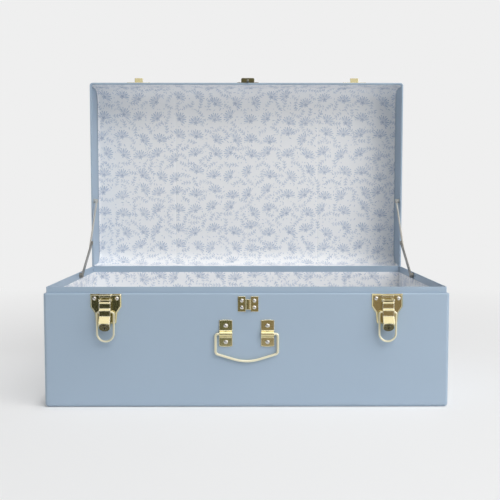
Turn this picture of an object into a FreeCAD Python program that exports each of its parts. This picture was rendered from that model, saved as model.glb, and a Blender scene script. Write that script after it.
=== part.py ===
import FreeCAD, Part
import math
import os

V = FreeCAD.Vector

# Storage trunk of painted sheet steel, modelled with its lid standing open.
# Frame: origin at the centre of the base's underside, +X to the right, +Y to the back, +Z up.
# Sizes are in millimetres.

# Trunk body
trunk_width = 550.0
trunk_depth = 326.0
shoulder_height = 156.0
sheet = 1.2
corner_radius = 5.0
bottom_radius = 4.6
edge_corner_margin = 0.3
shoulder_radius = 2.0

# Collar that guides the lid
collar_inset = 3.6
collar_rise = 8.4
collar_step_drop = 8.0
collar_foot_height = 14.0
collar_fit = 0.05

# Lining boards of the base
board = 1.0
board_top_drop = 10.4
board_fit = 0.2

# Lid
lid_height = 65.0
lid_bend_radius = 25.0
lid_hem = 2.4
lid_hem_height = 8.0
lid_seat_gap = 0.4
lid_open_angle = 90.0
lid_lining = 1.0
lid_lining_margin = 10.0
lid_lining_fit = 0.2

# Rivets
rivet_head_radius = 2.9
rivet_head_height = 1.7
rivet_shank_radius = 1.4
rivet_fit = 0.05

# Rear hinges
hinge_end_inset = 150.0
hinge_width = 41.0
hinge_leaf = 1.2
hinge_leaf_length = 24.0
hinge_axis_offset = 4.0
hinge_knuckle_radius = 3.2
hinge_knuckle_relief = 0.5
hinge_end_knuckle = 12.0
hinge_gap = 0.3
hinge_pin_radius = 1.5
hinge_pin_fit = 0.05
hinge_web_inner = 1.9
hinge_rivet_spacing = 26.0
hinge_rivet_drop = 15.0

# Front latches: drops are measured down from the top edge of the backing plate
latch_end_inset = 85.0
latch_top_drop = 0.5
latch_plate = 2.2
latch_plate_width = 42.0
latch_plate_length = 41.0
latch_plate_corner = 3.0
latch_plate_bevel = 1.7
latch_plate_shares = ((1.0, 0.43), (0.73, 0.64), (0.66, 1.0))
latch_hood_length = 4.2
latch_hood_out = 6.0
latch_hood_bevel = 1.6
latch_rivet_spacing = 30.0
latch_rivet_drop = 6.2
latch_pin_drop = 8.3
latch_pin_out = 5.6
latch_pin_radius = 1.2
latch_pin_fit = 0.05
latch_pin_head_radius = 1.9
latch_pin_head = 0.7
latch_ear = 1.2
latch_ear_radius = 2.1
latch_ear_gap = 0.3

# Latch lever: outline shares are of its rise from the plate and of its length
lever_width = 15.4
lever_sheet = 1.0
lever_gap = 0.8
lever_rise = 14.5
lever_length = 43.5
lever_crown = 1.4
lever_front_shares = (
    (0.36, 0.0), (0.414, 0.023), (0.414, 0.071), (0.483, 0.117), (0.483, 0.274),
    (0.593, 0.333), (0.593, 0.513),
)
lever_nose_shares = ((1.0, 0.724), (0.331, 1.0), (0.0, 0.933))
# The roof between the cheeks starts at this point of the front outline, so the head clears the ears
lever_roof_first = 2

# Lock in the lever's nose
lock_lift = 1.2
nose_radius = 7.9
barrel_radius = 5.4
barrel_depth = 6.0
barrel_flange_radius = 7.2
barrel_flange = 1.0
barrel_fit = 0.03
plug_radius = 4.4
plug_fit = 0.06
plug_proud = 0.5
keyhole_radius = 1.2
keyhole_slot_width = 1.2
keyhole_slot_length = 3.2
keyhole_depth = 3.0

# Latch loop
loop_wire_radius = 1.4
loop_width = 22.4
loop_length = 39.7
loop_pivot_drop = 24.2
loop_out = 6.0
loop_shoulder_radius = 3.0
loop_end_reach = 1.6
loop_fit = 0.08
loop_round_share = 0.98

# Catches on the lid
catch_plate = 1.2
catch_width = 42.0
catch_height = 22.0
catch_lift = 4.5
catch_corner = 2.0
catch_rivet_spacing = 30.0
catch_rivet_lift = 13.0
hook_width = 14.2
hook_lip = 1.4
hook_floor = 2.2
hook_clearance = 0.4
hook_cover = 0.8

# Centre dowel: socket plate on the base and tongue on the lid
dowel_offset = 2.0
socket_plate = 1.0
socket_width = 27.9
socket_height = 20.9
socket_top_drop = 4.0
socket_neck_drop = 3.4
socket_neck_height = 14.2
socket_channel_width = 5.0
socket_channel_depth = 4.6
socket_bridge_radius = 2.3
socket_rivet_spacing = 16.6
socket_rivet_pitch = 9.1
tongue_width = 3.4
tongue_thickness = 2.6
tongue_reach = 18.0
tongue_taper = 1.0
dowel_plate = 1.2
dowel_plate_width = 38.0
dowel_plate_height = 13.0
dowel_plate_lift = 3.0
dowel_block_width = 23.0
dowel_block_out = 8.8
dowel_block_bevel = 1.5
dowel_rivet_spacing = 30.5

# Carrying handle
handle_pivot_height = 100.9
handle_wire_radius = 1.75
handle_wire_gap = 0.3
handle_width = 84.4
handle_leg = 27.0
handle_drop = 39.8
handle_top_radius = 3.0
handle_corner_radius = 5.0
handle_apex_radius = 60.0
handle_end_inset = 1.0
clip_centre = 28.3
clip_width = 18.1
clip_upper_reach = 19.4
clip_lower_reach = 17.7
clip_bow = 0.9
clip_plate = 1.2
clip_arch = 1.7
clip_arch_clearance = 0.35
clip_root_radius = 1.4
clip_rivet_spacing = 22.0
clip_rivet_head_radius = 3.2

# Folding lid stays
stay_link_width = 7.4
stay_link = 1.6
stay_link_gap = 0.3
stay_board_clearance = 0.3
stay_foot_inset = 120.0
stay_foot_rise = 3.5
stay_lid_depth = 14.0
stay_elbow_offset = 16.0
stay_tail = 12.0
stay_pin_radius = 2.2
stay_pin_fit = 0.06
stay_boss_radius = 4.0
stay_head_radius = 3.3
stay_head = 1.0

# How far a cutting shape runs past what it cuts
overrun = 2.0

# Lengths closer than this count as equal
equal_within = 0.001

# Places that follow from the sizes above
front_y = -trunk_depth / 2
rear_y = trunk_depth / 2
end_x = trunk_width / 2
hinge_centre = end_x - hinge_end_inset
latch_centre = end_x - latch_end_inset
hinge_point = V(0, rear_y + hinge_axis_offset, shoulder_height)
lid_mouth_z = shoulder_height + lid_seat_gap
lid_top_z = lid_mouth_z + lid_height
# The rounds of the bottom and shoulder edges stay within the round of the upright corners
edge_limit = corner_radius - edge_corner_margin
bottom_round = min(bottom_radius, edge_limit)
shoulder_round = min(shoulder_radius, edge_limit)
collar_inner_inset = collar_inset + sheet
collar_top_z = shoulder_height + collar_rise
board_top_z = collar_top_z - board_top_drop
latch_top_z = shoulder_height - latch_top_drop
OUTWARD = V(0, -1, 0)
BACKWARD = V(0, 1, 0)


def box(x0, x1, y0, y1, z0, z1):
    """Box between two corners."""
    return Part.makeBox(x1 - x0, y1 - y0, z1 - z0, V(x0, y0, z0))


def rod(start, end, radius):
    """Round bar between two points."""
    along = end.sub(start)
    return Part.makeCylinder(radius, along.Length, start, along)


def prism(points, sweep):
    """Solid made by moving a flat polygon along a vector."""
    return Part.Face(Part.makePolygon(points + points[:1])).extrude(sweep)


def fuse(shapes):
    """One solid from touching shapes, with seams on flat faces removed."""
    return shapes[0].fuse(shapes[1:]).removeSplitter()


def edges_along(shape, axis):
    """Straight edges parallel to an axis."""
    found = []
    for edge in shape.Edges:
        run = edge.lastVertex().Point.sub(edge.firstVertex().Point)
        if isinstance(edge.Curve, Part.Line) and run.cross(axis).Length < equal_within:
            found.append(edge)
    return found


def rounded_block(inset, radius, z0, z1):
    """Upright block with the trunk's plan drawn in by an inset and rounded corners."""
    shape = box(inset - end_x, end_x - inset, front_y + inset, rear_y - inset, z0, z1)
    if radius <= 0:
        return shape
    return shape.makeFillet(radius, edges_along(shape, V(0, 0, 1)))


def rounded_path(points, radii):
    """Wire of straight runs through points, with a tangent arc at each inner point."""
    edges = []
    start = points[0]
    for before, corner, after, radius in zip(points, points[1:], points[2:], radii):
        back = before.sub(corner).normalize()
        ahead = after.sub(corner).normalize()
        half = back.getAngle(ahead) / 2
        trim = radius / math.tan(half)
        middle = back.add(ahead).normalize() * (radius / math.sin(half) - radius)
        first = corner.add(back * trim)
        last = corner.add(ahead * trim)
        edges.append(Part.LineSegment(start, first).toShape())
        edges.append(Part.Arc(first, corner.add(middle), last).toShape())
        start = last
    edges.append(Part.LineSegment(start, points[-1]).toShape())
    return Part.Wire(edges)


def bent_wire(points, radii, wire_radius):
    """Round wire bent along a rounded path."""
    path = rounded_path(points, radii)
    ring = Part.Wire(Part.makeCircle(wire_radius, points[0], points[1].sub(points[0])))
    return path.makePipeShell([ring], True, False)


def rivet(seat, out, grip, head_radius):
    """Domed rivet: its head rests on the seat and its shank runs a grip deep."""
    crown = V(0, 0, rivet_head_height)
    rise = math.asin(2 * head_radius * rivet_head_height / (head_radius ** 2 + rivet_head_height ** 2))
    dome_radius = head_radius / math.sin(rise)
    middle_drop = dome_radius * (1 - math.cos(rise / 2))
    middle = V(dome_radius * math.sin(rise / 2), 0, rivet_head_height - middle_drop)
    shank = (V(0, 0, -grip), V(rivet_shank_radius, 0, -grip), V(rivet_shank_radius, 0, 0),
             V(head_radius, 0, 0))
    edges = [Part.LineSegment(a, b).toShape() for a, b in zip(shank, shank[1:])]
    edges.append(Part.Arc(shank[-1], middle, crown).toShape())
    edges.append(Part.LineSegment(crown, shank[0]).toShape())
    solid = Part.Face(Part.Wire(edges)).revolve(V(0, 0, 0), V(0, 0, 1), 360)
    solid.Placement = FreeCAD.Placement(seat, FreeCAD.Rotation(V(0, 0, 1), out))
    return solid


def rivets(seats, out, grip, head_radius=rivet_head_radius):
    """A rivet on each seat."""
    return [rivet(seat, out, grip, head_radius) for seat in seats]


def rivet_holes(seats, out, grip):
    """Clearance holes for the shanks of a set of rivets."""
    radius = rivet_shank_radius + rivet_fit
    return [rod(seat + out * overrun, seat - out * (grip + overrun), radius) for seat in seats]


def open_lid(shape):
    """Swing a piece drawn on the closed lid to the open pose."""
    return shape.rotated(hinge_point, V(1, 0, 0), -lid_open_angle)


# Base

def base_shell(holes):
    """Tray with rounded edges and a narrow shoulder turned in at the top."""
    outer = rounded_block(0, corner_radius, 0, shoulder_height)
    rims = [e for e in outer.Edges if abs(e.CenterOfMass.z) < sheet / 2]
    outer = outer.makeFillet(bottom_round, rims)
    rims = [e for e in outer.Edges if abs(e.CenterOfMass.z - shoulder_height) < sheet / 2]
    outer = outer.makeFillet(shoulder_round, rims)
    inner = rounded_block(sheet, corner_radius - sheet, sheet, shoulder_height - sheet)
    rims = [e for e in inner.Edges if abs(e.CenterOfMass.z - sheet) < sheet / 2]
    inner = inner.makeFillet(bottom_round - sheet, rims)
    mouth_inset = collar_inset - collar_fit
    mouth = rounded_block(mouth_inset, corner_radius - mouth_inset, shoulder_height / 2,
                          shoulder_height + overrun)
    return outer.cut([inner, mouth] + holes)


def base_collar(holes):
    """Inner strip: a foot against the shell, a step, and a rim above the shoulder."""
    step_z = shoulder_height - collar_step_drop
    rim = rounded_block(collar_inset, corner_radius - collar_inset, step_z, collar_top_z)
    foot_inset = sheet + collar_fit
    foot = rounded_block(foot_inset, corner_radius - foot_inset, step_z - collar_foot_height, step_z)
    rim_bore = box(collar_inner_inset - end_x, end_x - collar_inner_inset, front_y + collar_inner_inset,
                   rear_y - collar_inner_inset, step_z - sheet - overrun, collar_top_z + overrun)
    foot_bore_inset = foot_inset + sheet
    foot_bore = rounded_block(foot_bore_inset, corner_radius - foot_bore_inset,
                              step_z - collar_foot_height - overrun, step_z - sheet)
    return fuse([rim, foot]).cut([rim_bore, foot_bore] + holes)


def base_boards():
    """Floor board and four wall boards that stand on it inside the collar."""
    floor_top = sheet + board
    floor_inset = bottom_round + board_fit
    low = collar_inner_inset + board_fit
    inner = low + board
    side_end = inner + board_fit
    floor = box(floor_inset - end_x, end_x - floor_inset, front_y + floor_inset, rear_y - floor_inset,
                sheet, floor_top)
    left = box(low - end_x, inner - end_x, front_y + side_end, rear_y - side_end, floor_top, board_top_z)
    right = box(end_x - inner, end_x - low, front_y + side_end, rear_y - side_end, floor_top, board_top_z)
    front = box(low - end_x, end_x - low, front_y + low, front_y + inner, floor_top, board_top_z)
    back = box(low - end_x, end_x - low, rear_y - inner, rear_y - low, floor_top, board_top_z)
    return {"base_board_floor": floor, "base_board_front": front, "base_board_back": back,
            "base_board_left": left, "base_board_right": right}


# Lid, drawn closed

def lid_profile_block(inset, z0, z1, half_length):
    """Block whose end view is the lid's: square at the mouth and bent at the two top edges."""
    shape = box(-half_length, half_length, front_y + inset, rear_y - inset, z0, z1)
    tops = [e for e in edges_along(shape, V(1, 0, 0)) if e.CenterOfMass.z > (z0 + z1) / 2]
    return shape.makeFillet(lid_bend_radius - inset, tops)


def round_lid_ends(shape, half_length, z0, radius):
    """Round the outline of both ends of a lid block, leaving the mouth edges sharp."""
    picked = []
    for edge in shape.Edges:
        centre = edge.CenterOfMass
        if abs(abs(centre.x) - half_length) < sheet / 2 and centre.z > z0 + sheet / 2:
            picked.append(edge)
    return shape.makeFillet(radius, picked)


def lid_shell(holes):
    """Lid tray with a folded hem round the mouth."""
    outer = round_lid_ends(lid_profile_block(0, lid_mouth_z, lid_top_z, end_x), end_x, lid_mouth_z,
                           corner_radius)
    hem_top = lid_mouth_z + lid_hem_height
    inside_x = end_x - sheet
    inner = lid_profile_block(sheet, hem_top, lid_top_z - sheet, inside_x)
    inner = round_lid_ends(inner, inside_x, hem_top, corner_radius - sheet)
    mouth = rounded_block(lid_hem, corner_radius - lid_hem, lid_mouth_z - overrun, hem_top + overrun)
    return open_lid(outer.cut([inner, mouth] + holes))


def lid_lining_sheet():
    """One sheet over the lid's front wall, top and back wall."""
    half_length = end_x - corner_radius - lid_lining_fit
    low_z = lid_mouth_z + lid_lining_margin
    outer_inset = sheet + lid_lining_fit
    inner_inset = outer_inset + lid_lining
    outer = lid_profile_block(outer_inset, low_z, lid_top_z - outer_inset, half_length)
    inner = lid_profile_block(inner_inset, low_z - overrun, lid_top_z - inner_inset, half_length + overrun)
    return open_lid(outer.cut(inner))


# Rear hinges, drawn closed

def hinge_rivet_seats(side, up):
    """Seats of one leaf's rivets; up is 1 on the lid and -1 on the base."""
    z = shoulder_height + up * hinge_rivet_drop
    places = (-hinge_rivet_spacing / 2, hinge_rivet_spacing / 2)
    return [V(side * hinge_centre + x, rear_y + hinge_leaf, z) for x in places]


def hinge_spans(side, ends):
    """X spans of the knuckles: the two end ones, or the one between them."""
    left = side * hinge_centre - hinge_width / 2
    right = left + hinge_width
    if ends:
        return [(left, left + hinge_end_knuckle), (right - hinge_end_knuckle, right)]
    return [(left + hinge_end_knuckle + hinge_gap, right - hinge_end_knuckle - hinge_gap)]


def hinge_leaf_body(side, up, ends, bore_fit):
    """Leaf on the back wall with knuckles round the pin."""
    axis_y = hinge_point.y
    clear = hinge_knuckle_radius + hinge_knuckle_relief
    far, near = sorted((up * hinge_leaf_length, up * clear))
    x0 = side * hinge_centre - hinge_width / 2
    pieces = [box(x0, x0 + hinge_width, rear_y, rear_y + hinge_leaf, shoulder_height + far,
                  shoulder_height + near)]
    bores = []
    for left, right in hinge_spans(side, ends):
        knuckle = rod(V(left, axis_y, shoulder_height), V(right, axis_y, shoulder_height),
                      hinge_knuckle_radius)
        web_far, web_near = sorted((0, up * clear))
        web = box(left, right, rear_y, rear_y + hinge_leaf, shoulder_height + web_far,
                  shoulder_height + web_near)
        low, high = sorted((0, up * hinge_knuckle_radius))
        root = box(left, right, rear_y, axis_y - hinge_web_inner, shoulder_height + low,
                   shoulder_height + high)
        pieces += [knuckle, web, root]
        bores.append(rod(V(left - overrun, axis_y, shoulder_height),
                         V(right + overrun, axis_y, shoulder_height), hinge_pin_radius + bore_fit))
    holes = rivet_holes(hinge_rivet_seats(side, up), BACKWARD, hinge_leaf)
    return fuse(pieces).cut(bores + holes)


def hinge_pin(side):
    """Plain pin through the knuckles."""
    left = side * hinge_centre - hinge_width / 2
    return rod(V(left, hinge_point.y, shoulder_height), V(left + hinge_width, hinge_point.y, shoulder_height),
               hinge_pin_radius)


# Front latches

def latch_point(side, x, out, drop):
    """Point on a latch: across, out from the front wall and down from the plate's top edge."""
    return V(side * latch_centre + x, front_y - out, latch_top_z - drop)


def latch_rivet_seats(side):
    """Seats of the rivets in a backing plate."""
    half = latch_rivet_spacing / 2
    return [latch_point(side, x, latch_plate, latch_rivet_drop) for x in (-half, half)]


def latch_pin_line(side, half_length):
    """Ends of a bar on the lever's pivot axis."""
    return (latch_point(side, -half_length, latch_pin_out, latch_pin_drop),
            latch_point(side, half_length, latch_pin_out, latch_pin_drop))


def latch_backing_plate(side):
    """Bevelled plate with a hood over the lever's head and two ears for its pin."""
    half = latch_plate_width / 2
    right = [(half, 0)] + [(half * a, latch_plate_length * b) for a, b in latch_plate_shares]
    outline = right + [(-x, drop) for x, drop in reversed(right)]
    plate = prism([latch_point(side, x, 0, drop) for x, drop in outline], OUTWARD * latch_plate)
    low = latch_top_z - latch_plate_length * latch_plate_shares[-1][1]
    corners = [e for e in edges_along(plate, OUTWARD) if e.CenterOfMass.z < low + latch_plate_corner]
    plate = plate.makeFillet(latch_plate_corner, corners)
    rim = [e for e in plate.Edges if abs(e.CenterOfMass.y - (front_y - latch_plate)) < latch_plate / 4]
    plate = plate.makeChamfer(latch_plate_bevel, rim)
    hood_outline = ((0, 0), (latch_hood_out - latch_hood_bevel, 0), (latch_hood_out, latch_hood_bevel),
                    (latch_hood_out, latch_hood_length), (0, latch_hood_length))
    hood = prism([latch_point(side, -lever_width / 2, out, drop) for out, drop in hood_outline],
                 V(lever_width, 0, 0))
    pieces = [plate, hood]
    ear_outer = lever_width / 2 - lever_sheet - latch_ear_gap
    for x in (-ear_outer, ear_outer - latch_ear):
        head = rod(latch_point(side, x, latch_pin_out, latch_pin_drop),
                   latch_point(side, x + latch_ear, latch_pin_out, latch_pin_drop), latch_ear_radius)
        leg_outline = ((0, -latch_ear_radius), (latch_pin_out, -latch_ear_radius),
                       (latch_pin_out, latch_ear_radius), (0, latch_ear_radius))
        leg = prism([latch_point(side, x, out, latch_pin_drop + drop) for out, drop in leg_outline],
                    V(latch_ear, 0, 0))
        pieces += [head, leg]
    pin_hole = rod(*latch_pin_line(side, lever_width / 2), latch_pin_radius + latch_pin_fit)
    return fuse(pieces).cut([pin_hole] + rivet_holes(latch_rivet_seats(side), OUTWARD, latch_plate))


def latch_pin(side):
    """Pivot pin with a flat head at each end, outside the lever's cheeks."""
    half = lever_width / 2 + latch_ear_gap
    pieces = [rod(*latch_pin_line(side, half + latch_pin_head), latch_pin_radius)]
    for inner, outer in ((half, half + latch_pin_head), (-half, -half - latch_pin_head)):
        pieces.append(rod(latch_point(side, inner, latch_pin_out, latch_pin_drop),
                          latch_point(side, outer, latch_pin_out, latch_pin_drop), latch_pin_head_radius))
    return fuse(pieces)


def lever_point(side, x, share_out, share_drop):
    """Point on the lever from its outline shares."""
    out = latch_plate + lever_gap + lever_rise * share_out
    return latch_point(side, x, out, latch_pin_drop - lever_crown + lever_length * share_drop)


def lock_axis(side):
    """Centre of the lock on the lever's nose, the way that it faces and the way down its face."""
    upper, lower = [lever_point(side, 0, *share) for share in lever_nose_shares[:2]]
    down = lower.sub(upper).normalize()
    facing = V(1, 0, 0).cross(down)
    if facing.dot(OUTWARD) < 0:
        facing = facing * -1
    return upper.add(lower) / 2 - down * lock_lift, facing, down


def nose_trim(side):
    """What is cut off below the lock, so that the nose is round about the lock's axis."""
    centre, facing, down = lock_axis(side)
    reach = facing * lever_length
    far_side = V(lever_width, 0, 0)
    depth = down * lever_length
    corners = [centre - reach, centre + reach, centre + reach + depth, centre - reach + depth]
    below = prism([corner - far_side for corner in corners], far_side * 2)
    return below.cut(rod(centre - reach, centre + reach, nose_radius))


def latch_lever(side):
    """Stepped lever: a channel over the pivot and a solid nose that holds the lock."""
    half = lever_width / 2
    outline = lever_front_shares + lever_nose_shares + ((0.0, 0.0),)
    body = prism([lever_point(side, -half, *share) for share in outline], V(lever_width, 0, 0))
    cheek = half - lever_sheet
    crest_out, crest_drop = lever_front_shares[lever_roof_first]
    roof_shares = lever_front_shares[lever_roof_first:]
    roof = [lever_point(side, -cheek, *share) - OUTWARD * lever_sheet for share in roof_shares]
    lip = lever_point(side, -cheek, crest_out, crest_drop) + OUTWARD * overrun
    lip_top = lever_point(side, -cheek, crest_out, 0) + OUTWARD * overrun + V(0, 0, overrun)
    back = OUTWARD * -(lever_rise + overrun)
    hollow = prism([lip_top + back, lip_top, lip] + roof + [roof[-1] + back], V(2 * cheek, 0, 0))
    centre, facing, down = lock_axis(side)
    bore = rod(centre + facing * overrun, centre - facing * barrel_depth, barrel_radius + barrel_fit)
    pivot = rod(*latch_pin_line(side, lever_width), latch_pin_radius + latch_pin_fit)
    loop_hole = rod(latch_point(side, -lever_width, loop_out, loop_pivot_drop),
                    latch_point(side, lever_width, loop_out, loop_pivot_drop), loop_wire_radius + loop_fit)
    return body.cut([hollow, bore, pivot, loop_hole, nose_trim(side)])


def lock_barrel(side):
    """Fixed sleeve of the lock with a flange on the lever's nose."""
    centre, facing, down = lock_axis(side)
    sleeve = rod(centre - facing * barrel_depth, centre, barrel_radius)
    flange = rod(centre, centre + facing * barrel_flange, barrel_flange_radius)
    bore = rod(centre - facing * (barrel_depth + overrun), centre + facing * (barrel_flange + overrun),
               plug_radius + plug_fit)
    return fuse([sleeve, flange]).cut(bore)


def lock_plug(side):
    """Turning plug with a keyhole in its face."""
    centre, facing, down = lock_axis(side)
    face = centre + facing * (barrel_flange + plug_proud)
    plug = rod(centre - facing * barrel_depth, face, plug_radius)
    deep = face - facing * keyhole_depth
    eye = rod(deep, face + facing * overrun, keyhole_radius)
    half = V(keyhole_slot_width / 2, 0, 0)
    slot_outline = [deep - half, deep + half, deep + half + down * keyhole_slot_length,
                    deep - half + down * keyhole_slot_length]
    slot = prism(slot_outline, facing * (keyhole_depth + overrun))
    return plug.cut([eye, slot])


def latch_loop(side):
    """Wire loop: its turned-in ends sit in the lever's cheeks."""
    half = loop_width / 2
    end = lever_width / 2 - loop_end_reach
    low = loop_pivot_drop + loop_length
    route = ((-end, loop_pivot_drop), (-half, loop_pivot_drop), (-half, low), (half, low),
             (half, loop_pivot_drop), (end, loop_pivot_drop))
    turn = half * loop_round_share
    radii = (loop_shoulder_radius, turn, turn, loop_shoulder_radius)
    return bent_wire([latch_point(side, x, loop_out, drop) for x, drop in route], radii, loop_wire_radius)


# Catches on the lid, drawn closed

def catch_rivet_seats(side):
    """Seats of the rivets in a catch plate."""
    half = catch_rivet_spacing / 2
    return [V(side * latch_centre + x, front_y - catch_plate, lid_mouth_z + catch_lift + catch_rivet_lift)
            for x in (-half, half)]


def lid_catch(side):
    """Plate with an upturned hook that the raised loop drops behind."""
    x = side * latch_centre
    low = lid_mouth_z + catch_lift
    plate = box(x - catch_width / 2, x + catch_width / 2, front_y - catch_plate, front_y, low,
                low + catch_height)
    plate = plate.makeFillet(catch_corner, edges_along(plate, OUTWARD))
    apex_z = latch_top_z - loop_pivot_drop + loop_length
    arch_inner = loop_width / 2 - loop_wire_radius
    arch_z = apex_z - loop_width / 2
    floor_z = arch_z + math.sqrt(arch_inner ** 2 - (hook_width / 2) ** 2) - hook_clearance
    lip_in = loop_out + loop_wire_radius + hook_clearance
    lip_top = apex_z + loop_wire_radius + hook_cover
    lip_out = lip_in + hook_lip
    outline = ((0, floor_z - hook_floor), (lip_out, floor_z - hook_floor), (lip_out, lip_top),
               (lip_in, lip_top), (lip_in, floor_z), (0, floor_z))
    hook = prism([V(x - hook_width / 2, front_y - out, z) for out, z in outline], V(hook_width, 0, 0))
    holes = rivet_holes(catch_rivet_seats(side), OUTWARD, catch_plate)
    return open_lid(fuse([plate, hook]).cut(holes))


# Centre dowel

def socket_rivet_seats():
    """Seats of the four rivets in the socket plate."""
    middle_z = shoulder_height - socket_top_drop - socket_height / 2
    across = socket_rivet_spacing / 2
    up = socket_rivet_pitch / 2
    return [V(dowel_offset + a * across, front_y - socket_plate, middle_z + b * up)
            for a in (-1, 1) for b in (-1, 1)]


def rounded_rib(half, out, back, z0, z1, radius):
    """Upright rib on the front wall at the dowel, its two outer edges rounded."""
    rib = box(dowel_offset - half, dowel_offset + half, front_y - out, front_y + back, z0, z1)
    outer = [e for e in edges_along(rib, V(0, 0, 1)) if e.CenterOfMass.y < front_y - out / 2]
    return rib.makeFillet(radius, outer)


def dowel_socket():
    """Plate of two flats joined by a raised bridge, open at top and bottom."""
    top = shoulder_height - socket_top_drop
    low = top - socket_height
    neck_top = top - socket_neck_drop
    neck_low = neck_top - socket_neck_height
    channel = socket_channel_width / 2
    wall = channel + socket_plate
    flats = []
    for x0, x1 in ((-socket_width / 2, -channel), (channel, socket_width / 2)):
        flats.append(box(dowel_offset + x0, dowel_offset + x1, front_y - socket_plate, front_y, low, top))
    bridge_out = socket_channel_depth + socket_plate
    bridge = rounded_rib(wall, bridge_out, 0, neck_low, neck_top, socket_bridge_radius)
    hollow = rounded_rib(channel, socket_channel_depth, overrun, low - overrun, top + overrun,
                         socket_bridge_radius - socket_plate)
    notches = []
    for z0, z1 in ((neck_top, top + overrun), (low - overrun, neck_low)):
        notches.append(box(dowel_offset - wall, dowel_offset + wall, front_y - bridge_out, front_y + overrun,
                           z0, z1))
    holes = rivet_holes(socket_rivet_seats(), OUTWARD, socket_plate)
    return fuse(flats + [bridge]).cut([hollow] + notches + holes)


def dowel_rivet_seats():
    """Seats of the two rivets in the tongue plate."""
    z = lid_mouth_z + dowel_plate_lift + dowel_plate_height / 2
    half = dowel_rivet_spacing / 2
    return [V(dowel_offset + x, front_y - dowel_plate, z) for x in (-half, half)]


def lid_dowel():
    """Plate with a bevelled block and a tapered tongue that enters the socket."""
    low = lid_mouth_z + dowel_plate_lift
    top = low + dowel_plate_height
    half = dowel_plate_width / 2
    plate = box(dowel_offset - half, dowel_offset + half, front_y - dowel_plate, front_y, low, top)
    wide = dowel_block_width / 2
    slim = wide - dowel_block_bevel
    shelf = dowel_block_out - dowel_block_bevel
    outline = ((-wide, 0), (-wide, shelf), (-slim, dowel_block_out), (slim, dowel_block_out), (wide, shelf),
               (wide, 0))
    block = prism([V(dowel_offset + x, front_y - out, low) for x, out in outline],
                  V(0, 0, dowel_plate_height))
    middle_out = socket_channel_depth / 2
    tip_z = lid_mouth_z - tongue_reach
    near = middle_out - tongue_thickness / 2
    far = middle_out + tongue_thickness / 2
    root = tongue_width / 2
    tip = root - tongue_taper
    neck_z = tip_z + tongue_width
    tongue_outline = ((-root, low), (-root, neck_z), (-tip, tip_z), (tip, tip_z), (root, neck_z), (root, low))
    tongue = prism([V(dowel_offset + x, front_y - near, z) for x, z in tongue_outline],
                   OUTWARD * (far - near))
    return open_lid(fuse([plate, block, tongue]).cut(rivet_holes(dowel_rivet_seats(), OUTWARD, dowel_plate)))


# Handle

def handle_axis_out():
    """How far the handle's pivot axis stands out from the front wall."""
    return handle_wire_gap + handle_wire_radius


def handle_bail():
    """Bent wire with turned-in ends, hanging against the front wall."""
    half = handle_width / 2
    end = clip_centre - clip_width / 2 + handle_end_inset
    route = ((-end, 0), (-half, 0), (-half, -handle_leg), (0, -handle_drop), (half, -handle_leg), (half, 0),
             (end, 0))
    radii = (handle_top_radius, handle_corner_radius, handle_apex_radius, handle_corner_radius,
             handle_top_radius)
    y = front_y - handle_axis_out()
    return bent_wire([V(x, y, handle_pivot_height + z) for x, z in route], radii, handle_wire_radius)


def clip_rivet_seats(side):
    """Seats of the two rivets in a handle clip."""
    half = clip_rivet_spacing / 2
    return [V(side * clip_centre, front_y - clip_plate, handle_pivot_height + z) for z in (-half, half)]


def handle_clip(side):
    """Saddle clip: a plate with bowed ends and an arch over the handle's wire."""
    x0 = side * clip_centre - clip_width / 2
    x1 = x0 + clip_width
    middle_x = side * clip_centre
    top = handle_pivot_height + clip_upper_reach
    low = handle_pivot_height - clip_lower_reach
    top_left, top_right = [V(x, front_y, top - clip_bow) for x in (x0, x1)]
    low_left, low_right = [V(x, front_y, low + clip_bow) for x in (x0, x1)]
    edges = [Part.Arc(top_left, V(middle_x, front_y, top), top_right).toShape(),
             Part.LineSegment(top_right, low_right).toShape(),
             Part.Arc(low_right, V(middle_x, front_y, low), low_left).toShape(),
             Part.LineSegment(low_left, top_left).toShape()]
    plate = Part.Face(Part.Wire(edges)).extrude(OUTWARD * clip_plate)
    axis_y = front_y - handle_axis_out()
    bore_radius = handle_wire_radius + clip_arch_clearance
    arch_radius = bore_radius + clip_arch
    arch = rod(V(x0, axis_y, handle_pivot_height), V(x1, axis_y, handle_pivot_height), arch_radius)
    behind = box(x0 - overrun, x1 + overrun, front_y, front_y + arch_radius, low, top)
    saddle = fuse([plate, arch.cut(behind)])
    roots = []
    for edge in edges_along(saddle, V(1, 0, 0)):
        centre = edge.CenterOfMass
        on_plate = abs(centre.y - (front_y - clip_plate)) < clip_plate / 4
        if on_plate and abs(centre.z - handle_pivot_height) < arch_radius + clip_arch:
            roots.append(edge)
    saddle = saddle.makeFillet(clip_root_radius, roots)
    bore = rod(V(x0 - overrun, axis_y, handle_pivot_height), V(x1 + overrun, axis_y, handle_pivot_height),
               bore_radius)
    return saddle.cut([bore] + rivet_holes(clip_rivet_seats(side), OUTWARD, clip_plate))


# Folding stays: pivots are points in the YZ plane, the same at both ends of the trunk

def stay_pivots():
    """Foot, elbow and lid pivots of an open stay; foot and lid pivot lie equally far from the hinge."""
    foot = V(0, rear_y - stay_foot_inset, shoulder_height + stay_foot_rise)
    reach = foot.sub(hinge_point).Length
    lid = hinge_point + V(0, stay_lid_depth, math.sqrt(reach ** 2 - stay_lid_depth ** 2))
    line = lid.sub(foot)
    towards_hinge = line.cross(V(1, 0, 0)).normalize()
    if towards_hinge.dot(hinge_point.sub(foot)) < 0:
        towards_hinge = towards_hinge * -1
    elbow = foot + line / 2 + towards_hinge * stay_elbow_offset
    return foot, elbow, lid


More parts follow.
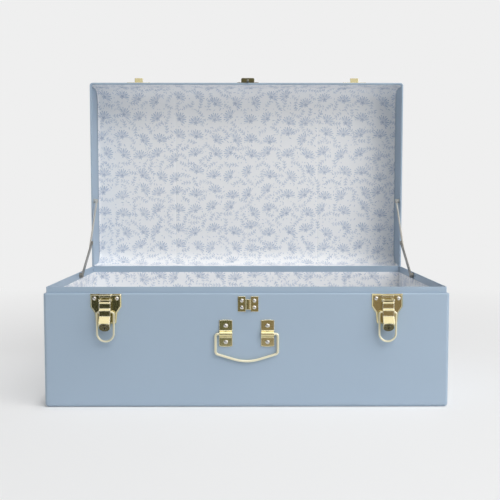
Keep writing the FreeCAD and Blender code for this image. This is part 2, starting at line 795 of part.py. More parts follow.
def stay_planes(side):
    """X of the link faces, from the outside in: upper link's two faces, then lower link's."""
    outer = end_x - collar_inner_inset - board_fit - board - stay_board_clearance
    upper_inner = outer - stay_link
    lower_outer = upper_inner - stay_link_gap
    return [side * x for x in (outer, upper_inner, lower_outer, lower_outer - stay_link)]


def at_x(point, x):
    """The same point moved to another X."""
    return V(x, point.y, point.z)


def link_bar(start, end, x0, x1):
    """Flat bar with round ends about two pivots."""
    radius = stay_link_width / 2
    along = end.sub(start).normalize()
    across = along.cross(V(1, 0, 0)) * radius
    points = [start + across, end + across, end - across, start - across]
    edges = [Part.LineSegment(points[0], points[1]).toShape(),
             Part.Arc(points[1], end + along * radius, points[2]).toShape(),
             Part.LineSegment(points[2], points[3]).toShape(),
             Part.Arc(points[3], start - along * radius, points[0]).toShape()]
    face = Part.Face(Part.Wire(edges))
    face.translate(V(x0, 0, 0))
    return face.extrude(V(x1 - x0, 0, 0))


def pin_hole(point, x0, x1):
    """Running hole for a stay pin along X, through everything between two X values."""
    reach = math.copysign(overrun, x1 - x0)
    return rod(at_x(point, x0 - reach), at_x(point, x1 + reach), stay_pin_radius + stay_pin_fit)


def stay_lower_link(side):
    """Link from the foot on the collar to the elbow."""
    foot, elbow, lid = stay_pivots()
    x0, x1 = stay_planes(side)[2:]
    return link_bar(foot, elbow, x0, x1).cut([pin_hole(foot, x0, x1), pin_hole(elbow, x0, x1)])


def stay_upper_link(side):
    """Link from the lid to the elbow, with a short tail past the elbow."""
    foot, elbow, lid = stay_pivots()
    x0, x1 = stay_planes(side)[:2]
    tail = elbow + elbow.sub(lid).normalize() * stay_tail
    return link_bar(lid, tail, x0, x1).cut([pin_hole(lid, x0, x1), pin_hole(elbow, x0, x1)])


def stay_head_disc(point, side, x):
    """Domed pin head on the inner face of a link."""
    disc = rod(at_x(point, x), at_x(point, x - side * stay_head), stay_head_radius)
    rim = [e for e in disc.Edges if abs(e.CenterOfMass.x - (x - side * stay_head)) < stay_head / 4]
    return disc.makeFillet(stay_head / 2, rim)


def stay_pivot_pin(point, side, wall_outer, wall_inner, link_outer, link_inner):
    """Pin through a wall, with a boss up to the link and a head past it."""
    head_x = link_inner - side * stay_link_gap / 2
    boss_x = link_outer + side * stay_link_gap / 2
    shank = rod(at_x(point, wall_outer), at_x(point, head_x), stay_pin_radius)
    boss = rod(at_x(point, wall_inner), at_x(point, boss_x), stay_boss_radius)
    return fuse([shank, boss, stay_head_disc(point, side, head_x)])


def stay_foot_pin(side):
    """Foot pivot riveted to the collar."""
    foot = stay_pivots()[0]
    planes = stay_planes(side)
    return stay_pivot_pin(foot, side, side * (end_x - collar_inset), side * (end_x - collar_inner_inset),
                          planes[2], planes[3])


def stay_lid_pin(side):
    """Lid pivot riveted to the lid's end wall."""
    lid = stay_pivots()[2]
    planes = stay_planes(side)
    return stay_pivot_pin(lid, side, side * end_x, side * (end_x - sheet), planes[0], planes[1])


def stay_elbow_rivet(side):
    """Half of the elbow rivet that stays in the lower link: head and shank."""
    elbow = stay_pivots()[1]
    x0, x1 = stay_planes(side)[2:]
    return fuse([rod(at_x(elbow, x0), at_x(elbow, x1), stay_pin_radius), stay_head_disc(elbow, side, x1)])


def stay_elbow_end(side):
    """Other half of the elbow rivet: its flush end in the upper link."""
    elbow = stay_pivots()[1]
    x0, x1 = stay_planes(side)[:2]
    return rod(at_x(elbow, x0), at_x(elbow, x1), stay_pin_radius)


def main():
    """Build every sub-part and write one STEP file for each."""
    sides = (("left", -1), ("right", 1))
    parts = {}

    base_holes = rivet_holes(socket_rivet_seats(), OUTWARD, socket_plate + sheet)
    lid_holes = rivet_holes(dowel_rivet_seats(), OUTWARD, dowel_plate + sheet)
    collar_holes = []
    base_hinge_rivets = []
    lid_hinge_rivets = []
    handle_rivets = []
    foot, elbow, lid = stay_pivots()
    lid_closed = lid.sub(hinge_point)
    lid_closed = hinge_point + FreeCAD.Rotation(V(1, 0, 0), lid_open_angle).multVec(lid_closed)

    for name, side in sides:
        base_hinge = hinge_rivet_seats(side, -1)
        lid_hinge = hinge_rivet_seats(side, 1)
        base_holes += rivet_holes(base_hinge, BACKWARD, hinge_leaf + sheet)
        base_holes += rivet_holes(latch_rivet_seats(side), OUTWARD, latch_plate + sheet)
        base_holes += rivet_holes(clip_rivet_seats(side), OUTWARD, clip_plate + sheet)
        lid_holes += rivet_holes(lid_hinge, BACKWARD, hinge_leaf + sheet)
        lid_holes += rivet_holes(catch_rivet_seats(side), OUTWARD, catch_plate + sheet)
        lid_holes.append(pin_hole(lid_closed, side * (end_x - sheet), side * end_x))
        collar_holes.append(pin_hole(foot, side * (end_x - collar_inner_inset),
                                     side * (end_x - collar_inset)))
        base_hinge_rivets += rivets(base_hinge, BACKWARD, hinge_leaf + sheet)
        lid_hinge_rivets += [open_lid(r) for r in rivets(lid_hinge, BACKWARD, hinge_leaf + sheet)]
        handle_rivets += rivets(clip_rivet_seats(side), OUTWARD, clip_plate + sheet, clip_rivet_head_radius)
        catch_rivets = rivets(catch_rivet_seats(side), OUTWARD, catch_plate + sheet)

        parts["hinge_" + name + "_base_leaf"] = hinge_leaf_body(side, -1, True, hinge_pin_fit)
        parts["hinge_" + name + "_lid_leaf"] = open_lid(hinge_leaf_body(side, 1, False, hinge_pin_fit))
        parts["hinge_" + name + "_pin"] = hinge_pin(side)
        parts["latch_" + name + "_plate"] = latch_backing_plate(side)
        plate_rivets = rivets(latch_rivet_seats(side), OUTWARD, latch_plate + sheet)
        parts["latch_" + name + "_rivets"] = Part.Compound(plate_rivets)
        parts["latch_" + name + "_lever"] = latch_lever(side)
        parts["latch_" + name + "_lever_pin"] = latch_pin(side)
        parts["latch_" + name + "_loop"] = latch_loop(side)
        parts["latch_" + name + "_lock_barrel"] = lock_barrel(side)
        parts["latch_" + name + "_lock_plug"] = lock_plug(side)
        parts["catch_" + name] = lid_catch(side)
        parts["catch_" + name + "_rivets"] = Part.Compound([open_lid(r) for r in catch_rivets])
        parts["handle_clip_" + name] = handle_clip(side)
        parts["stay_" + name + "_lower_link"] = stay_lower_link(side)
        parts["stay_" + name + "_upper_link"] = stay_upper_link(side)
        parts["stay_" + name + "_foot_pin"] = stay_foot_pin(side)
        parts["stay_" + name + "_lid_pin"] = stay_lid_pin(side)
        parts["stay_" + name + "_elbow_rivet"] = stay_elbow_rivet(side)
        parts["stay_" + name + "_elbow_end"] = stay_elbow_end(side)

    parts["base_shell"] = base_shell(base_holes)
    parts["base_collar"] = base_collar(collar_holes)
    parts.update(base_boards())
    parts["lid_shell"] = lid_shell(lid_holes)
    parts["lid_lining"] = lid_lining_sheet()
    parts["hinge_base_rivets"] = Part.Compound(base_hinge_rivets)
    parts["hinge_lid_rivets"] = Part.Compound(lid_hinge_rivets)
    parts["dowel_socket"] = dowel_socket()
    parts["dowel_socket_rivets"] = Part.Compound(rivets(socket_rivet_seats(), OUTWARD, socket_plate + sheet))
    parts["lid_dowel"] = lid_dowel()
    dowel_rivets = rivets(dowel_rivet_seats(), OUTWARD, dowel_plate + sheet)
    parts["lid_dowel_rivets"] = Part.Compound([open_lid(r) for r in dowel_rivets])
    parts["handle_bail"] = handle_bail()
    parts["handle_rivets"] = Part.Compound(handle_rivets)

    os.makedirs("parts", exist_ok=True)
    for name, shape in parts.items():
        shape.exportStep("parts/" + name + ".step")
        print(name, len(shape.Solids), shape.isValid(), round(shape.Volume, 1))


main()
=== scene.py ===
import math

import bpy
import numpy as np
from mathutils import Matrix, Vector


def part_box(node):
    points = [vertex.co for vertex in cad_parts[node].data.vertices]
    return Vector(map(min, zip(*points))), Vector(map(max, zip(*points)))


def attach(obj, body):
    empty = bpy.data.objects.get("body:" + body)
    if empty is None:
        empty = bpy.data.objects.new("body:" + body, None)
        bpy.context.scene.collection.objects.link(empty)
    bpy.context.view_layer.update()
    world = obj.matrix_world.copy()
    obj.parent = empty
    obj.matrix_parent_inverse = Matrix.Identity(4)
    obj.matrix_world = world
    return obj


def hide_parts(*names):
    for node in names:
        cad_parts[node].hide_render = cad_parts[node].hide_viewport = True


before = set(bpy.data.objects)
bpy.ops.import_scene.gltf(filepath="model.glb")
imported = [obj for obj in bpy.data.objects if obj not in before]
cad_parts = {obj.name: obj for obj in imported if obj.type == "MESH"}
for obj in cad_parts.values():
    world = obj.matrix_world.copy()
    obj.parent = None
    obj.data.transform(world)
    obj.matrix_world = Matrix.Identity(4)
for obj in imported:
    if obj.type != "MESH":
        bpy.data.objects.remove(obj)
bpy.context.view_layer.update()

bl_info = {
    "name": "Storage Trunk Finish",
    "version": (1, 0, 0),
    "blender": (4, 5, 0),
    "location": "View3D > Sidebar > Trunk",
    "description": "Lining, finishes and studio for a sheet-steel storage trunk",
    "category": "Object",
}

MM = 0.001
SIDES = ("left", "right")
X, Y, Z = range(3)
QUARTER_TURN = math.pi / 2


# Settings

class TrunkPaintSettings(bpy.types.PropertyGroup):
    """Paint on the steel shells."""

    colour: bpy.props.FloatVectorProperty(
        name="Paint", description="Colour of the satin paint", subtype="COLOR", default=(0.375, 0.475, 0.585))
    light_colour: bpy.props.FloatVectorProperty(
        name="Paint bloom", description="Slightly paler tone that drifts over the paint", subtype="COLOR",
        default=(0.395, 0.495, 0.605))
    # Paler tone mixed in along the edges: a painted highlight
    highlighted: bpy.props.FloatVectorProperty(
        name="Highlighted paint", description="Paler tone along rubbed edges", subtype="COLOR",
        default=(0.50, 0.59, 0.68))
    edge: bpy.props.FloatProperty(
        name="Paint edge", description="Radius of the rubbed edges", unit="LENGTH", default=0.7 * MM)
    roughness: bpy.props.FloatProperty(
        name="Roughness", description="How satin the paint is", subtype="FACTOR", min=0, max=1, default=0.42)
    peel_size: bpy.props.FloatProperty(
        name="Orange peel", description="Width of one ripple of the sprayed paint", unit="LENGTH",
        default=1.6 * MM)


class TrunkLiningSettings(bpy.types.PropertyGroup):
    """Printed paper on the lining boards."""

    paper: bpy.props.FloatVectorProperty(
        name="Paper", description="Ground colour of the paper", subtype="COLOR", default=(0.935, 0.94, 0.95))
    leaf: bpy.props.FloatVectorProperty(
        name="Leaf", description="Pale ink that fills the sprigs", subtype="COLOR",
        default=(0.55, 0.62, 0.735))
    line: bpy.props.FloatVectorProperty(
        name="Line", description="Darker ink of stems and veins", subtype="COLOR", default=(0.34, 0.41, 0.54))
    posy_spacing: bpy.props.FloatProperty(
        name="Posy spacing", description="Distance between posies", unit="LENGTH", default=34 * MM)
    sprig_spacing: bpy.props.FloatProperty(
        name="Sprig spacing", description="Distance between leaf sprigs", unit="LENGTH", default=15.5 * MM)
    dot_spacing: bpy.props.FloatProperty(
        name="Dot spacing", description="Distance between the small marks", unit="LENGTH", default=6.5 * MM)
    ripple: bpy.props.FloatProperty(
        name="Ripple", description="Height of the ripple in the glued paper", unit="LENGTH",
        default=0.14 * MM)
    end_turn: bpy.props.FloatProperty(
        name="End turn", description="Radius at which the lid lining turns up at its ends", unit="LENGTH",
        default=3.6 * MM)
    seam_pitch: bpy.props.FloatProperty(
        name="Seam pitch", description="Distance between the seams of the lid lining", unit="LENGTH",
        default=131 * MM)


class TrunkMetalSettings(bpy.types.PropertyGroup):
    """Plated fittings."""

    brass: bpy.props.FloatVectorProperty(
        name="Brass", description="Bright brass plate", subtype="COLOR", default=(0.80, 0.72, 0.43))
    brass_dull: bpy.props.FloatVectorProperty(
        name="Dull brass", description="Duller tone that drifts over the brass", subtype="COLOR",
        default=(0.68, 0.59, 0.32))
    # Partly the brass's own pale tone, partly painted sheen together with the wire's diffuse share
    wire: bpy.props.FloatVectorProperty(
        name="Wire", description="Pale polished wire of the loops and the handle", subtype="COLOR",
        default=(0.93, 0.88, 0.68))
    wire_dull: bpy.props.FloatVectorProperty(
        name="Dull wire", description="Duller tone that drifts over the wire", subtype="COLOR",
        default=(0.91, 0.85, 0.63))
    nickel: bpy.props.FloatVectorProperty(
        name="Nickel", description="Rivet heads", subtype="COLOR", default=(0.72, 0.70, 0.68))
    nickel_dull: bpy.props.FloatVectorProperty(
        name="Dull nickel", description="Duller tone that drifts over the rivets", subtype="COLOR",
        default=(0.60, 0.58, 0.55))
    steel: bpy.props.FloatVectorProperty(
        name="Steel", description="Hinges, upper stay links and their lid pins", subtype="COLOR",
        default=(0.70, 0.68, 0.63))
    steel_dull: bpy.props.FloatVectorProperty(
        name="Dull steel", description="Duller tone that drifts over the hinges and upper links",
        subtype="COLOR", default=(0.56, 0.54, 0.50))
    dark_steel: bpy.props.FloatVectorProperty(
        name="Dark steel", description="Lower stay links, their foot pins and the elbows", subtype="COLOR",
        default=(0.32, 0.31, 0.28))
    dark_steel_dull: bpy.props.FloatVectorProperty(
        name="Dull dark steel", description="Duller tone that drifts over the lower links", subtype="COLOR",
        default=(0.20, 0.19, 0.17))
    # Brass darkened as painted shade, for the locks and the lid's dowel
    lock: bpy.props.FloatVectorProperty(
        name="Lock", description="Darker brass of the locks and the lid's dowel", subtype="COLOR",
        default=(0.15, 0.13, 0.06))
    lock_dull: bpy.props.FloatVectorProperty(
        name="Dull lock", description="Duller tone that drifts over the locks", subtype="COLOR",
        default=(0.08, 0.07, 0.03))
    edge: bpy.props.FloatProperty(
        name="Metal edge", description="Radius of the rubbed edges of locks, rivets and steel", unit="LENGTH",
        default=0.4 * MM)
    plate_edge: bpy.props.FloatProperty(
        name="Plate edge", description="Radius of the rubbed edges of the brass plates", unit="LENGTH",
        default=1.1 * MM)
    bent_edge: bpy.props.FloatProperty(
        name="Bent edge", description="Radius of the rubbed edges of the latch levers and handle clips",
        unit="LENGTH", default=1.8 * MM)


class TrunkStudioSettings(bpy.types.PropertyGroup):
    """Floor, light and camera."""

    floor: bpy.props.FloatVectorProperty(
        name="Floor", description="Colour of the studio floor", subtype="COLOR", default=(0.91, 0.91, 0.91))
    backdrop: bpy.props.FloatVectorProperty(
        name="Backdrop", description="Colour seen behind the trunk", subtype="COLOR",
        default=(0.863, 0.863, 0.863))
    fill: bpy.props.FloatProperty(
        name="Fill", description="Strength of the even light from all round", default=0.10)
    key: bpy.props.FloatProperty(
        name="Key", description="Strength of the broad light from above, in front and to the right",
        default=1.9)
    top: bpy.props.FloatProperty(
        name="Top", description="Strength of the broad light from overhead", default=0.3)
    side: bpy.props.FloatProperty(
        name="Side", description="Power of the soft light near the right end", unit="POWER", default=5.0)
    bounce: bpy.props.FloatProperty(
        name="Bounce", description="Power of the bluish light in front", unit="POWER", default=0.36)
    lens: bpy.props.FloatProperty(
        name="Lens", description="Focal length of the camera", unit="CAMERA", default=54.82)


SETTINGS = {
    "trunk_paint": TrunkPaintSettings,
    "trunk_lining": TrunkLiningSettings,
    "trunk_metal": TrunkMetalSettings,
    "trunk_studio": TrunkStudioSettings,
}


# Node trees

# Sockets of a Mix node that mixes colours
MIX_FIRST, MIX_SECOND, MIX_RESULT = 6, 7, 2


def link_or_set(tree, socket, value):
    """Link a socket to another one, or give it a plain value."""
    if isinstance(value, Num):
        value = value.socket
    if isinstance(value, bpy.types.NodeSocket):
        tree.links.new(value, socket)
    else:
        socket.default_value = value


def node(tree, kind, inputs=None, **settings):
    """Add a node, set its options, and link or set its inputs."""
    made = tree.nodes.new(kind)
    for key, value in settings.items():
        setattr(made, key, value)
    for key, value in (inputs or {}).items():
        link_or_set(tree, made.inputs[key], value)
    return made


class Num:
    """A number that changes over a surface: arithmetic on it adds Math nodes."""

    def __init__(self, tree, socket):
        self.tree = tree
        self.socket = socket

    def calc(self, operation, *values):
        """Result of one Math node on the given values."""
        made = node(self.tree, "ShaderNodeMath", dict(enumerate(values)), operation=operation)
        return Num(self.tree, made.outputs[0])

    def __add__(self, other):
        return self.calc("ADD", self, other)

    def __sub__(self, other):
        return self.calc("SUBTRACT", self, other)

    def __rsub__(self, other):
        return self.calc("SUBTRACT", other, self)

    def __mul__(self, other):
        return self.calc("MULTIPLY", self, other)

    def __truediv__(self, other):
        return self.calc("DIVIDE", self, other)

    def __lt__(self, other):
        return self.calc("LESS_THAN", self, other)

    def __gt__(self, other):
        return self.calc("GREATER_THAN", self, other)

    def __abs__(self):
        return self.calc("ABSOLUTE", self)

    def max(self, other):
        """The larger of two numbers."""
        return self.calc("MAXIMUM", self, other)

    def min(self, other):
        """The smaller of two numbers."""
        return self.calc("MINIMUM", self, other)

    def clamp(self):
        """The number held between 0 and 1."""
        return self.max(0.0).min(1.0)

    def root(self):
        """Square root."""
        return self.calc("SQRT", self)

    def cos(self):
        """Cosine."""
        return self.calc("COSINE", self)

    def sin(self):
        """Sine."""
        return self.calc("SINE", self)

    def wrap(self, period):
        """Distance from the middle of the period that the number falls in."""
        return self.calc("WRAP", self, -period / 2, period / 2)

    def soft(self, width):
        """1 where positive, 0 where negative, with an even ramp of the given width between."""
        return (self / width + 0.5).clamp()

    def spread(self, middle, half):
        """The number, from 0 to 1, moved to a band of the given middle and half width."""
        return (self - 0.5) * (2 * half) + middle


def new_group(name, inputs, outputs):
    """Empty shader node group with named sockets; returns it with its input and output nodes."""
    group = bpy.data.node_groups.new(name, "ShaderNodeTree")
    for label, kind in inputs.items():
        group.interface.new_socket(label, in_out="INPUT", socket_type=kind)
    for label, kind in outputs.items():
        group.interface.new_socket(label, in_out="OUTPUT", socket_type=kind)
    return group, node(group, "NodeGroupInput"), node(group, "NodeGroupOutput")


def use_group(tree, group, inputs):
    """Place a node group in a tree with its own values."""
    return node(tree, "ShaderNodeGroup", inputs, node_tree=group)


def new_material(name):
    """Material with a Principled BSDF; returns the material, its tree and the shader."""
    material = bpy.data.materials.new(name)
    material.use_nodes = True
    tree = material.node_tree
    return material, tree, tree.nodes["Principled BSDF"]


def empty_tree(owner):
    """Node tree of a material or world, with its first nodes taken out."""
    owner.use_nodes = True
    owner.node_tree.nodes.clear()
    return owner.node_tree


def add_bump(tree, shader, height, distance, normal=None):
    """Let a height drive the shader's normal, on top of another normal if one is given."""
    bump = node(tree, "ShaderNodeBump", {"Height": height, "Strength": 1.0, "Distance": distance})
    if normal is not None:
        tree.links.new(normal, bump.inputs["Normal"])
    tree.links.new(bump.outputs["Normal"], shader.inputs["Normal"])


def mix_colour(tree, factor, first, second):
    """Colour between two others."""
    made = node(tree, "ShaderNodeMix", {"Factor": factor}, data_type="RGBA")
    link_or_set(tree, made.inputs[MIX_FIRST], first)
    link_or_set(tree, made.inputs[MIX_SECOND], second)
    return made.outputs[MIX_RESULT]


def rgba(colour):
    """A colour with full alpha."""
    return (*colour, 1.0)


def object_coords(tree):
    """Object coordinates, which are metres in the trunk's own frame."""
    return node(tree, "ShaderNodeTexCoord").outputs["Object"]


# Shared effects

NOISE_DETAIL = 3.0
BEVEL_SAMPLES = 6
# Gain and floor of the edge mask, which paints a paler highlight along edges
EDGE_HIGHLIGHT_GAIN = 10.0
EDGE_HIGHLIGHT_FLOOR = 0.5


def drift_group():
    """Slow drift and fine grain in one effect: two noises at a coarse and a fine size, each from 0 to 1."""
    group, source, result = new_group(
        "surface_drift",
        {"Vector": "NodeSocketVector", "Coarse": "NodeSocketFloat", "Fine": "NodeSocketFloat"},
        {"Drift": "NodeSocketFloat", "Grain": "NodeSocketFloat"})
    for label, size_label in (("Drift", "Coarse"), ("Grain", "Fine")):
        size = Num(group, source.outputs[size_label])
        noise = node(group, "ShaderNodeTexNoise", {
            "Vector": source.outputs["Vector"], "Scale": size.calc("DIVIDE", 1.0, size),
            "Detail": NOISE_DETAIL})
        link_or_set(group, result.inputs[label], noise.outputs["Fac"])
    return group


def surface_drift(tree, vector, coarse, fine):
    """Place the shared drift in a material; returns its drift and its grain."""
    group = bpy.data.node_groups.get("surface_drift") or drift_group()
    marks = use_group(tree, group, {"Vector": vector, "Coarse": coarse, "Fine": fine})
    return Num(tree, marks.outputs["Drift"]), Num(tree, marks.outputs["Grain"])


def rounded_edge_highlight_group():
    """Rounded edges with a painted highlight: the normal blended over a radius, and a mask of how far it
    turns there.

    The mask paints a paler highlight along the edges. Highlight = gain * (1 - rounded normal . flat normal) *
    (grain + floor), held between 0 and 1."""
    group, source, result = new_group(
        "rounded_edges_and_highlight", {"Radius": "NodeSocketFloat", "Grain": "NodeSocketFloat"},
        {"Highlight": "NodeSocketFloat", "Normal": "NodeSocketVector"})
    bevel = node(group, "ShaderNodeBevel", {"Radius": source.outputs["Radius"]}, samples=BEVEL_SAMPLES)
    rounded = bevel.outputs["Normal"]
    flat = node(group, "ShaderNodeNewGeometry").outputs["Normal"]
    alike = node(group, "ShaderNodeVectorMath", {0: rounded, 1: flat}, operation="DOT_PRODUCT")
    # How far the rounded normal turns there: the mask of the painted edge highlight
    turn = (1.0 - Num(group, alike.outputs["Value"])) * EDGE_HIGHLIGHT_GAIN
    edge_highlight = (turn * (Num(group, source.outputs["Grain"]) + EDGE_HIGHLIGHT_FLOOR)).clamp()
    link_or_set(group, result.inputs["Highlight"], edge_highlight)
    link_or_set(group, result.inputs["Normal"], rounded)
    return group


def rounded_edges_and_highlight(tree, radius, grain):
    """Place the shared rounded edges in a material; returns the mask of their painted highlight and their
    rounded normal.
    """
    group = bpy.data.node_groups.get("rounded_edges_and_highlight") or rounded_edge_highlight_group()
    edges = use_group(tree, group, {"Radius": radius, "Grain": grain})
    return Num(tree, edges.outputs["Highlight"]), edges.outputs["Normal"]


# Printed paper: sizes of the motifs are in millimetres

INK_EDGE = 0.3
STEM_HALF = 0.38
VEIN_HALF = 0.2

POSY_SHIFT = 0.0
POSY_JITTER = 0.5
POSY_LEAVES = 5
POSY_SPAN = math.radians(38)
POSY_LEAF_AT = 4.4
POSY_LEAF = 9.0
POSY_LEAF_HALF = 1.7
POSY_BERRY_AT = 13.0
POSY_BERRY = 1.15
POSY_LOW = 4.5
POSY_LEAN = math.radians(65)

FLOWER_PETALS = 5.0
FLOWER_RADIUS = 4.3
FLOWER_WAVE = 0.24
FLOWER_EYE = 1.2
FLOWER_TINT = 0.7

SPRIG_SHIFT = 71.0
SPRIG_JITTER = 0.5
SPRIG_HALF = 7.4
SPRIG_BEND = 0.022
SPRIG_PITCH = 4.9
SPRIG_LEAF = 5.4
SPRIG_LEAF_HALF = 1.05
SPRIG_LEAF_TURN = math.radians(46)
SPRIG_ROOT = 1.4
SPRIG_FAINTEST = 0.7
SPRIG_CLEAR_OF_POSY = 13.5

DOT_SHIFT = 37.0
DOT_JITTER = 0.6
DOT_RADIUS = 1.15
DOT_LEAF = 5.2
DOT_LEAF_HALF = 0.9
DOT_LEAF_CHANCE = 0.5
DOT_FAINTEST = 0.6
DOT_CLEAR_OF_POSY = 12.0
DOT_CLEAR_OF_SPRIG = 7.2


def lens(along, across, length, half):
    """Leaf outline, positive inside: half width = 4 * half * t * (1 - t), with t the share of the length."""
    t = along / length
    return (t - t * t) * (4 * half) - abs(across)


def turned(x, y, angle):
    """Coordinates along and across a line at an angle."""
    return x * math.cos(angle) + y * math.sin(angle), y * math.cos(angle) - x * math.sin(angle)


def band(value, half):
    """Positive within a band about zero."""
    return abs(value) * -1 + half


class Scatter:
    """One layer of the print: jittered cells, each with its own point and chance numbers."""

    def __init__(self, tree, vector, spacing, shift, jitter):
        self.tree = tree
        self.spacing = spacing
        self.shift = (shift, shift, 0)
        self.jitter = jitter
        self.moved = self.shifted(vector, "ADD")
        cells = self.cells(self.moved)
        chance = node(tree, "ShaderNodeSeparateColor", {0: cells.outputs["Color"]})
        self.spot = cells.outputs["Position"]
        self.point = self.shifted(self.spot, "SUBTRACT")
        self.turn = Num(tree, chance.outputs[0])
        self.pick = Num(tree, chance.outputs[1])
        self.strength = Num(tree, chance.outputs[2])

    def shifted(self, vector, operation):
        """A place moved by the layer's own shift."""
        moved = node(self.tree, "ShaderNodeVectorMath", {0: vector, 1: self.shift}, operation=operation)
        return moved.outputs[0]

    def cells(self, vector):
        """The layer's cells at a place."""
        inputs = {"Vector": vector, "Scale": 1 / self.spacing, "Randomness": self.jitter}
        return node(self.tree, "ShaderNodeTexVoronoi", inputs, voronoi_dimensions="2D")

    def local(self, lean):
        """x and y about the cell's point, turned by chance up to the given angle each way."""
        offset = node(self.tree, "ShaderNodeVectorMath", {0: self.moved, 1: self.spot}, operation="SUBTRACT")
        inputs = {"Vector": offset.outputs[0], "Angle": (self.turn - 0.5) * (2 * lean)}
        spun = node(self.tree, "ShaderNodeVectorRotate", inputs, rotation_type="Z_AXIS")
        axes = node(self.tree, "ShaderNodeSeparateXYZ", {0: spun.outputs[0]})
        return Num(self.tree, axes.outputs[X]), Num(self.tree, axes.outputs[Y])

    def clear_of(self, other, gap):
        """1 where this cell's point lies further than the gap from every point of another layer."""
        nearest = other.cells(other.shifted(self.point, "ADD")).outputs["Distance"]
        return Num(self.tree, nearest) * other.spacing > gap

    def ink(self, faintest):
        """The cell's own strength of ink, from the faintest to full."""
        return self.strength * (1 - faintest) + faintest


def posy_marks(x, y):
    """A flower under a fan of leaves with berries between them: the angle repeats once for each leaf."""
    y = y + POSY_LOW
    radius = (x * x + y * y).root()
    angle = x.calc("ARCTAN2", x, y)
    in_fan = band(angle, POSY_SPAN * POSY_LEAVES / 2)
    near = angle.wrap(POSY_SPAN)
    along = radius * near.cos()
    across = radius * near.sin()
    leaf = lens(along - POSY_LEAF_AT, across, POSY_LEAF, POSY_LEAF_HALF)
    vein = band(across, VEIN_HALF).min(leaf)
    between = (angle + POSY_SPAN / 2).wrap(POSY_SPAN)
    stalk_along = radius * between.cos()
    stalk_across = radius * between.sin()
    stalk = band(stalk_across, STEM_HALF).min(stalk_along * -1 + POSY_BERRY_AT)
    berry_gap = stalk_along - POSY_BERRY_AT
    berry = (berry_gap * berry_gap + stalk_across * stalk_across).root() * -1 + POSY_BERRY
    flower_fill, flower_line = flower_marks(x, y, radius)
    fill = leaf.max(berry).min(in_fan).soft(INK_EDGE)
    line = stalk.max(vein).min(in_fan).soft(INK_EDGE)
    return fill.max(flower_fill), line.max(flower_line)


def flower_marks(x, y, radius):
    """A flower whose radius waves with the angle: radius * (1 - wave + wave * cos(petals * angle))."""
    angle = x.calc("ARCTAN2", y, x)
    wave = (angle * FLOWER_PETALS).cos() * (FLOWER_RADIUS * FLOWER_WAVE)
    inside = wave + FLOWER_RADIUS * (1 - FLOWER_WAVE) - radius
    rim = band(inside - VEIN_HALF, VEIN_HALF * 2)
    eye = radius * -1 + FLOWER_EYE
    return inside.soft(INK_EDGE) * FLOWER_TINT, rim.max(eye).soft(INK_EDGE)


def sprig_marks(x, y):
    """A bent stem with paired leaves: leaves repeat along the stem and mirror across it."""
    y = y - x * x * SPRIG_BEND
    on_stem = band(x, SPRIG_HALF)
    along, across = turned(x.wrap(SPRIG_PITCH) + SPRIG_ROOT, abs(y), SPRIG_LEAF_TURN)
    leaf = lens(along, across, SPRIG_LEAF, SPRIG_LEAF_HALF).min(on_stem)
    tip = lens(x - SPRIG_HALF, y, SPRIG_LEAF, SPRIG_LEAF_HALF)
    stem = band(y, STEM_HALF).min(on_stem + SPRIG_LEAF / 2)
    return leaf.max(tip).soft(INK_EDGE), stem.soft(INK_EDGE)


def dot_marks(x, y, pick):
    """A single leaf with a vein or a round berry, as chance has it."""
    round_mark = ((x * x + y * y).root() * -1 + DOT_RADIUS).soft(INK_EDGE)
    leaf_mark = lens(x + DOT_LEAF / 2, y, DOT_LEAF, DOT_LEAF_HALF).soft(INK_EDGE)
    berry = round_mark * (pick > DOT_LEAF_CHANCE)
    leaf = leaf_mark * (pick < DOT_LEAF_CHANCE)
    return berry.max(leaf), band(y, VEIN_HALF).soft(INK_EDGE) * leaf


def sprig_print_group(lining):
    """Scattered print: posies, leaf sprigs where no posy is near, and berries and single leaves between.

    Each cell's mark is kept or dropped whole, and sprigs and dots are drawn fainter or stronger by chance."""
    group, source, result = new_group(
        "sprig_print", {"Vector": "NodeSocketVector"}, {"Fill": "NodeSocketFloat", "Line": "NodeSocketFloat"})
    scaled = node(group, "ShaderNodeVectorMath", {0: source.outputs[0], "Scale": 1 / MM}, operation="SCALE")
    place = scaled.outputs[0]
    posies = Scatter(group, place, lining.posy_spacing / MM, POSY_SHIFT, POSY_JITTER)
    sprigs = Scatter(group, place, lining.sprig_spacing / MM, SPRIG_SHIFT, SPRIG_JITTER)
    dots = Scatter(group, place, lining.dot_spacing / MM, DOT_SHIFT, DOT_JITTER)
    posy_pair = posy_marks(*posies.local(POSY_LEAN))
    sprig_pair = sprig_marks(*sprigs.local(math.pi))
    dot_pair = dot_marks(*dots.local(math.pi), dots.pick)
    sprig_kept = sprigs.clear_of(posies, SPRIG_CLEAR_OF_POSY) * sprigs.ink(SPRIG_FAINTEST)
    free = dots.clear_of(posies, DOT_CLEAR_OF_POSY) * dots.clear_of(sprigs, DOT_CLEAR_OF_SPRIG)
    dot_kept = free * dots.ink(DOT_FAINTEST)
    for label, posy, sprig, dot in zip(("Fill", "Line"), posy_pair, sprig_pair, dot_pair):
        link_or_set(group, result.inputs[label], posy.max(sprig * sprig_kept).max(dot * dot_kept))
    return group


# Materials

PAINT_BLOOM_SIZE = 90 * MM
# Share of the paler edge tone in the paint: a painted highlight
PAINT_HIGHLIGHT_SHARE = 0.1
PAINT_ROUGHNESS_HALF = 0.05
PAINT_PEEL_HEIGHT = 0.02 * MM

INK_WASH_SIZE = 18 * MM
INK_WASH = 0.72
INK_WASH_HALF = 0.5
FIBRE_SIZE = 0.5 * MM
FIBRE_HEIGHT = 0.03 * MM
PAPER_ROUGHNESS = 0.66
PAPER_ROUGHNESS_HALF = 0.06

